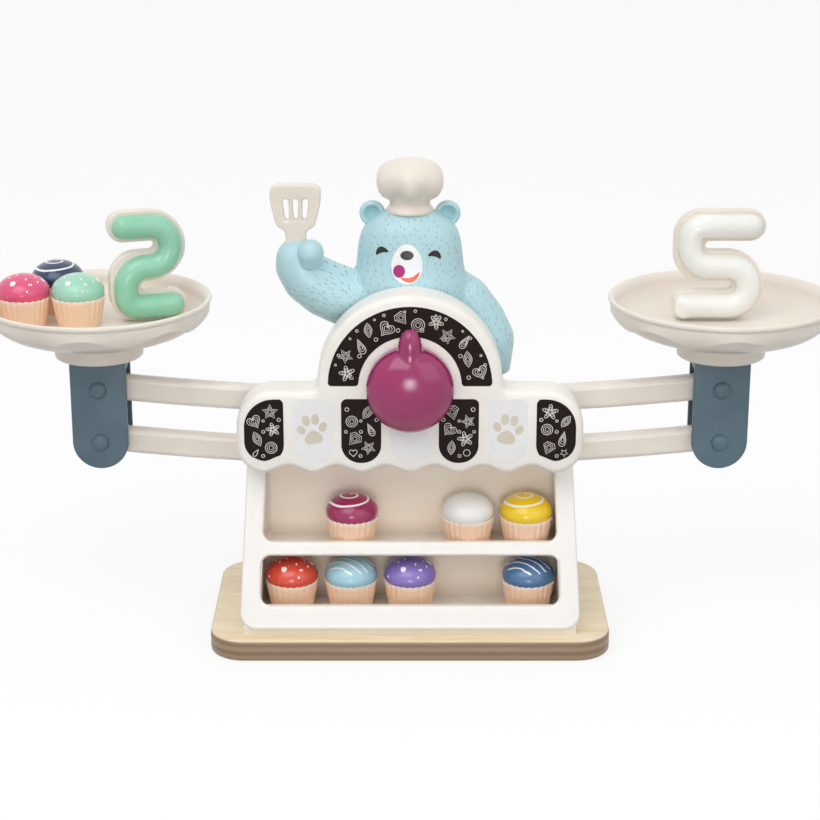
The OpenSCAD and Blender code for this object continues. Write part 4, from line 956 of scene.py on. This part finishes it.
# Uprights and their pins. Blue-grey U-shaped mouldings that straddle the beams' ends, with domed pins
# of the same plastic through both plates.
slate = moulded("slate_plastic", ink(92, 115, 128), ink(84, 106, 119), 0.42, coat=0.05)
plate_t, plate_round = 3.5 * mm, 1.2 * mm
head_h, pin_r, head_dome = 2.5 * mm, 2.5 * mm, 1.0 * mm
for side, sign in (("left", -1), ("right", 1)):
    low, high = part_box(side + "_upright")
    middle_x, half_w = (low.x + high.x) / 2, (high.x - low.x) / 2
    shape = arc(middle_x, low.z + half_w, half_w, 180, 360, 32) + [(high.x, high.z), (low.x, high.z)]
    upright = outline_plate(side + "_upright", shape, low.y, high.y)
    edit(upright)
    pick(upright, "edges", lambda e: abs(e.verts[0].co.y - e.verts[1].co.y) < 1e-6)
    bpy.ops.mesh.bevel(affect="EDGES", offset=plate_round, segments=4)
    outward()
    web = (middle_x + sign * (half_w - plate_t)) / mm
    open_side = (middle_x - sign * 2 * half_w) / mm
    cut_away(upright, (min(web, open_side), (low.y + plate_t) / mm, (low.z - cut_reach) / mm),
             (max(web, open_side), (high.y - plate_t) / mm, (high.z - 2 * plate_t) / mm))
    fit(upright, side + "_carrier_plate", slate, side + "_carrier", "upright_grey", side + "_upright")
    low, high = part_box(side + "_pivot_pins")
    head_r = (high.x - low.x) / 2
    length = high.y - low.y
    pin = [(head_r * math.sin(a), (head_h + head_dome) * (1 - math.cos(a)) - head_dome) for a in quarter(8)]
    pin += [(pin_r, head_h)]
    pin += [(r, length - z) for r, z in reversed(pin)]
    pin_heights = (low.z + head_r, high.z - head_r)
    pins = joined([turned("pin", (middle_x, high.y, z), pin, 48, axis="Y") for z in pin_heights])
    fit(pins, side + "_pins", slate, side + "_carrier", "upright_grey", side + "_pivot_pins")

# Pans. Each is a cream dish with a beaded rim whose skirt hangs in eight soft waves, like icing, over
# a round bowl with a foot; the bowl is screwed down on its upright.
pan_rim = [(74.9, 40.7), (76.0, 41.0), (77.0, 40.6), (77.5, 39.6), (77.4, 38.4), (76.6, 37.4), (76.0, 36.6)]
pan_floor, dish_low, pan_wall, side_low, side_top = 23.0, 20.0, 3.0, 0.4, 36.0
waves = 8
skirt_top, skirt_z, wave_h, skirt_step, skirt_flare = 36.6, 28.2, 3.0, 1.2, 1.1
bowl_foot, bowl_wide, bowl_high, bowl_low = 30.0, 76.0, 36.5, 11.5
base_top, base_waist, base_inset, base_wall = 19.7, 13.6, 1.5, 2.9
skirt_rows, tuck_rows, wall_rows = 12, 4, 8


def bowl_radius(z, inset):
    """Outer radius of the bowl's side at a height over the foot."""
    rise = min(1.0, max(0.0, (bowl_high - z) / (bowl_high - bowl_low - inset)))
    return bowl_foot + (bowl_wide - bowl_foot - inset) * math.sqrt(1 - rise * rise)


def pan(side, name):
    """A dish with its waved skirt, and the bowl under it."""
    low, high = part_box(name + "_base")
    middle = ((low.x + high.x) / 2, (low.y + high.y) / 2, low.z)
    heights = [pan_floor + side_low + (side_top - pan_floor) * i / 9 for i in range(10)]
    inner = [(0, pan_floor), (30, pan_floor), (62.6, pan_floor)]
    inner += [(bowl_radius(z, skirt_step) - pan_wall, z) for z in heights] + [(73.2, 38.6), (74.1, 40.0)]
    first = len(inner) + len(pan_rim)
    rings = inner + pan_rim + [(0, 0)] * (skirt_rows + tuck_rows + wall_rows) + [(0, dish_low)]

    def skirt(angle, row, radius, height):
        edge = skirt_z + wave_h * math.cos(waves * (angle + math.pi / 2))
        step = row - first + 1
        if step < 1 or row == len(rings) - 1:
            return radius * mm, height * mm
        if step <= skirt_rows:
            z = skirt_top + (edge - skirt_top) * step / skirt_rows
            return (bowl_radius(z, 0) + skirt_flare * (step / skirt_rows) ** 2) * mm, z * mm
        step -= skirt_rows
        if step <= tuck_rows:
            turn = math.pi * step / tuck_rows
            swing = (skirt_step + skirt_flare) / 2
            radius = bowl_radius(edge, 0) + skirt_flare - swing * (1 - math.cos(turn))
            return radius * mm, (edge - 0.6 * swing * math.sin(turn)) * mm
        z = edge + (dish_low - edge) * (step - tuck_rows) / wall_rows
        return bowl_radius(z, skirt_step) * mm, z * mm

    dish = turned(name, middle, rings, 192, skirt)
    fit(dish, name + "_dish", cream, side + "_carrier", "cream", name)
    base = [(0, 0), (26, 0), (28.8, 0.2), (29.8, 1.0), (30.0, 2.4), (30.0, 10.2), (30.6, 11.8), (32.2, 12.8)]
    sides = [base_waist + (base_top - base_waist) * i / 10 for i in range(11)]
    base += [(bowl_radius(z, base_inset), z) for z in sides]
    base += [(bowl_radius(base_top, base_inset + base_wall), base_top), (0, base_top)]
    bowl = turned(name + "_bowl", middle, in_mm(base), 128)
    fit(bowl, name + "_bowl", cream, side + "_carrier", "cream", name + "_base")


for side in ("left", "right"):
    pan(side, side + "_pan")

# Numerals. Each has a puffed coloured face set in a cream back that shows as a narrow rim. A weight is
# closed inside each, so that the two with three cupcakes balances the five.
stroke = 20.5
gap = 7.25
digit_h = 76.0
digit_rim = 2.1
back_t, back_grow = 9.0, 0.25 * mm
face_y, face_spacing = -1.0, 1.4


def digit_outline(width, turned_over):
    """Front view of the five from its lower left corner; the two is the same, turned over."""
    turn, corner, end, slot_r = stroke + gap / 2, stroke * 0.9, stroke * 0.45, gap / 2
    turn_x, low = width - turn, stroke + gap
    points = arc(end, end, end, 180, 270, 5) + arc(turn_x, turn, turn, -90, 90, 24)
    points += arc(turn, digit_h - turn, slot_r, 270, 90, 10)
    points += arc(width - stroke / 2, digit_h - stroke / 2, stroke / 2, -90, 90, 14)
    points += arc(corner, digit_h - corner, corner, 90, 180, 10)
    points += arc(corner, low + corner, corner, 180, 270, 10)
    points += arc(turn_x, turn, slot_r, 90, -90, 10) + arc(end, stroke - end, end, 90, 180, 5)
    points = [(x - width / 2, z) for x, z in points]
    if turned_over:
        points = [(x, digit_h - z) for x, z in reversed(points)]
    return in_mm(points)


def digit_line(width, turned_over):
    """The middle of the numeral's stroke as closely set balls; the five's foot is blunt, over its slug."""
    turn, half, crook = stroke + gap / 2, stroke / 2, stroke * 0.42
    face_r = half - digit_rim
    run = [(half, half)] + arc(width - turn, turn, turn - half, -90, 90, 12)
    run += arc(turn, digit_h - turn, turn - half, 270, 180, 8)
    run += arc(half + crook, digit_h - half - crook, crook, 180, 90, 6)
    run += [(width - half, digit_h - half)]
    middle = [(x - width / 2, face_y, digit_h - z if turned_over else z, face_r) for x, z in run]
    blunt_x, blunt_y, blunt_less = half - 2.6 - width / 2, -2.5, 1.6
    blunt = [(blunt_x, blunt_y, half + z, face_r - blunt_less) for z in (-1.9, 1.9)]
    return strung(middle, face_spacing) + ([] if turned_over else blunt)


def numeral(name, width, turned_over, turn, face_paint, slot, body):
    """A numeral's back and face, turned about its upright axis and stood in its place."""
    low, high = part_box(name + "_back")
    middle = (low + high) / 2
    ahead = back_t / 2 * mm
    place = (middle.x + ahead * math.sin(turn), middle.y - ahead * math.cos(turn), low.z)
    back = outline_plate(name, grown(digit_outline(width, turned_over), back_grow), 0, back_t * mm)
    reskin(back, 0.8 * mm, 6)
    face = swell(name, digit_line(width, turned_over), 0.62 * mm, 10)
    for piece, part, paint, part_slot in ((back, "back", ivory, "cream"), (face, "face", face_paint, slot)):
        piece.location = place
        piece.rotation_euler = (0, 0, turn)
        fit(piece, f"{name}_{part}_shell", paint, body, part_slot, f"{name}_{part}", angle=60)


mint = moulded("mint_gloss", ink(150, 212, 182), ink(138, 202, 170), 0.22, coat=0.4)
snow = moulded("snow_gloss", ink(246, 246, 242), ink(238, 238, 234), 0.2, coat=0.4)
numeral("two", 52.0, True, math.radians(18), mint, "face_mint", "number_two")
numeral("five", 61.0, False, 0, snow, "face_white", "number_five")

# Cupcakes. Hollow peach cups with pressed flutes and a scalloped rim, closed by glossy domes of icing
# on which white swirls, stripes or sprinkles are printed.
cup_h = 20.0
cup_low_r, cup_rim_r = 14.5, 18.25
flutes = 24
icing_h = 15.5
dome_r = 17.95
flute_depth = 0.9 * mm
rim_low = 18.6 * mm

peach, tone, shader = blank("peach_cup")
place = tone.node("TexCoord", out="Object")
cloud = tone.noise(place, 120.0, 3.0)
lip = tone.node("Attribute", {}, out="Fac", attribute_name="rim")
paper = cloud.mix(ink(250, 216, 186), ink(244, 204, 172))
feed(shader, Base_Color=(lip * 0.75).mix(paper, ink(255, 246, 236)), Roughness=0.42 + cloud * 0.1)


def fluted(angle, row, radius, height):
    """Pressed flutes that fade towards the foot, and a scalloped rim."""
    wave = abs(math.cos(flutes / 2 * angle))
    if height <= 0.3 * mm or radius < 13 * mm:
        return radius, height
    share = 0.35 + 0.65 * height / (cup_h * mm)
    lift = flute_depth * (wave - 0.5) if row >= 8 else 0.0
    return radius - flute_depth * share * (1 - wave), height + lift


def icing(name, colour, shade, style, place_mid):
    """Glossy icing with white decoration laid out from the dome's own middle."""
    material, tone, shader = blank(name)
    place = tone.node("TexCoord", out="Object")
    own = tone.node("Mapping", {0: place, 1: tuple(-c for c in place_mid)})
    x, y, z = [own.part(i) for i in range(3)]
    cloud = tone.noise(own, 90.0, 3.0)
    wobble = (tone.noise(own, 110.0, 1.0) - 0.5) * 4 * mm
    reach = tone.math("SQRT", x * x + y * y)
    if style == "swirl":
        angle = tone.math("ARCTAN2", y, x) / math.tau
        turn = (angle + (reach + wobble * 0.25) / (7.5 * mm)) % 1.0
        line = 1 - abs(turn - 0.5).step(0.06, 0.1)
        mark = line * (reach < 15.5 * mm)
    elif style == "stripes":
        slant = (x * 0.55 + y * 0.85 + wobble * 0.9) / (5.2 * mm)
        mark = (1 - abs(slant % 1.0 - 0.5).step(0.08, 0.13)) * (reach < 15.8 * mm)
    elif style == "sprinkles":
        dashes = tone.node("Mapping", {0: own, 2: (0.4, 0.2, 0.7), 3: (330, 150, 230)})
        dash = tone.node("TexVoronoi", {"Vector": dashes, "Scale": 1.0, "Randomness": 0.8}, feature="F1")
        shift, lean, stretch = (0.003, 0.002, 0.004), (0.2, 0.5, 0.3), (110, 110, 75)
        ovals = tone.node("Mapping", {0: own, 1: shift, 2: lean, 3: stretch})
        oval_spot = tone.node("TexVoronoi", {"Vector": ovals, "Scale": 1.0, "Randomness": 0.7}, feature="F1")
        mark = 1 - dash.step(0.17, 0.23) * oval_spot.step(0.2, 0.24)
        mark = mark * (z > 23 * mm)
    else:
        mark = cloud * 0.0
    sugar = cloud.mix(colour, shade)
    sugar = mark.mix(sugar, ink(248, 246, 244))
    feed(shader, Base_Color=sugar, Roughness=0.2 + cloud * 0.08, Coat_Weight=0.4)
    return material


cakes = (("pink", (232, 86, 130), (222, 72, 118), "sprinkles"),
         ("navy", (38, 62, 100), (30, 52, 88), "swirl"),
         ("mint", (165, 220, 195), (152, 211, 185), "sprinkles"),
         ("red", (222, 78, 56), (210, 66, 46), "sprinkles"),
         ("sky", (165, 210, 225), (154, 202, 218), "stripes"),
         ("purple", (142, 118, 196), (130, 106, 186), "sprinkles"),
         ("blue", (78, 120, 164), (68, 108, 152), "stripes"),
         ("magenta", (164, 30, 92), (152, 24, 84), "swirl"),
         ("white", (240, 238, 236), (230, 228, 226), "plain"),
         ("yellow", (246, 208, 20), (238, 196, 10), "swirl"))
for cake, colour, shade, style in cakes:
    low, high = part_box(cake + "_cup")
    middle = Vector(((low.x + high.x) / 2, (low.y + high.y) / 2, low.z))
    side = [(cup_low_r + (cup_rim_r - cup_low_r) * i / 7, cup_h * i / 7) for i in range(8)]
    cup_rings = [(0, 0), (12, 0)] + side + [(cup_rim_r - 0.9, cup_h + 0.1), (cup_rim_r - 1.3, cup_h - 1.2),
                                            (12.4, cup_h - 1.4), (12.2, 2.4), (0, 2.2)]
    cup = turned(cake + "_cup", middle, in_mm(cup_rings), 192, fluted)
    mark_rim = cup.data.attributes.new("rim", "FLOAT", "POINT")
    for vertex, value in zip(cup.data.vertices, mark_rim.data):
        value.value = 1.0 if vertex.co.z > middle.z + rim_low else 0.0
    fit(cup, cake + "_cup_shell", peach, cake + "_cupcake", "cup_peach", cake + "_cup", angle=50)
    roll = icing_h * 0.22
    rings = [(0, -1.0), (12.0, -1.0), (15.6, -1.1), (16.9, 0.2), (17.6, 1.6)]
    rings += [(dome_r * math.cos(a), roll + (icing_h - roll) * math.sin(a)) for a in quarter(22)]
    dome = turned(cake + "_icing", middle + Vector((0, 0, cup_h * mm)), in_mm(rings), 96)
    paint = icing(cake + "_icing_gloss", ink(*colour), ink(*shade), style, middle)
    fit(dome, cake + "_icing_dome", paint, cake + "_cupcake", "icing_" + cake, cake + "_icing", angle=60)

low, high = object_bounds()
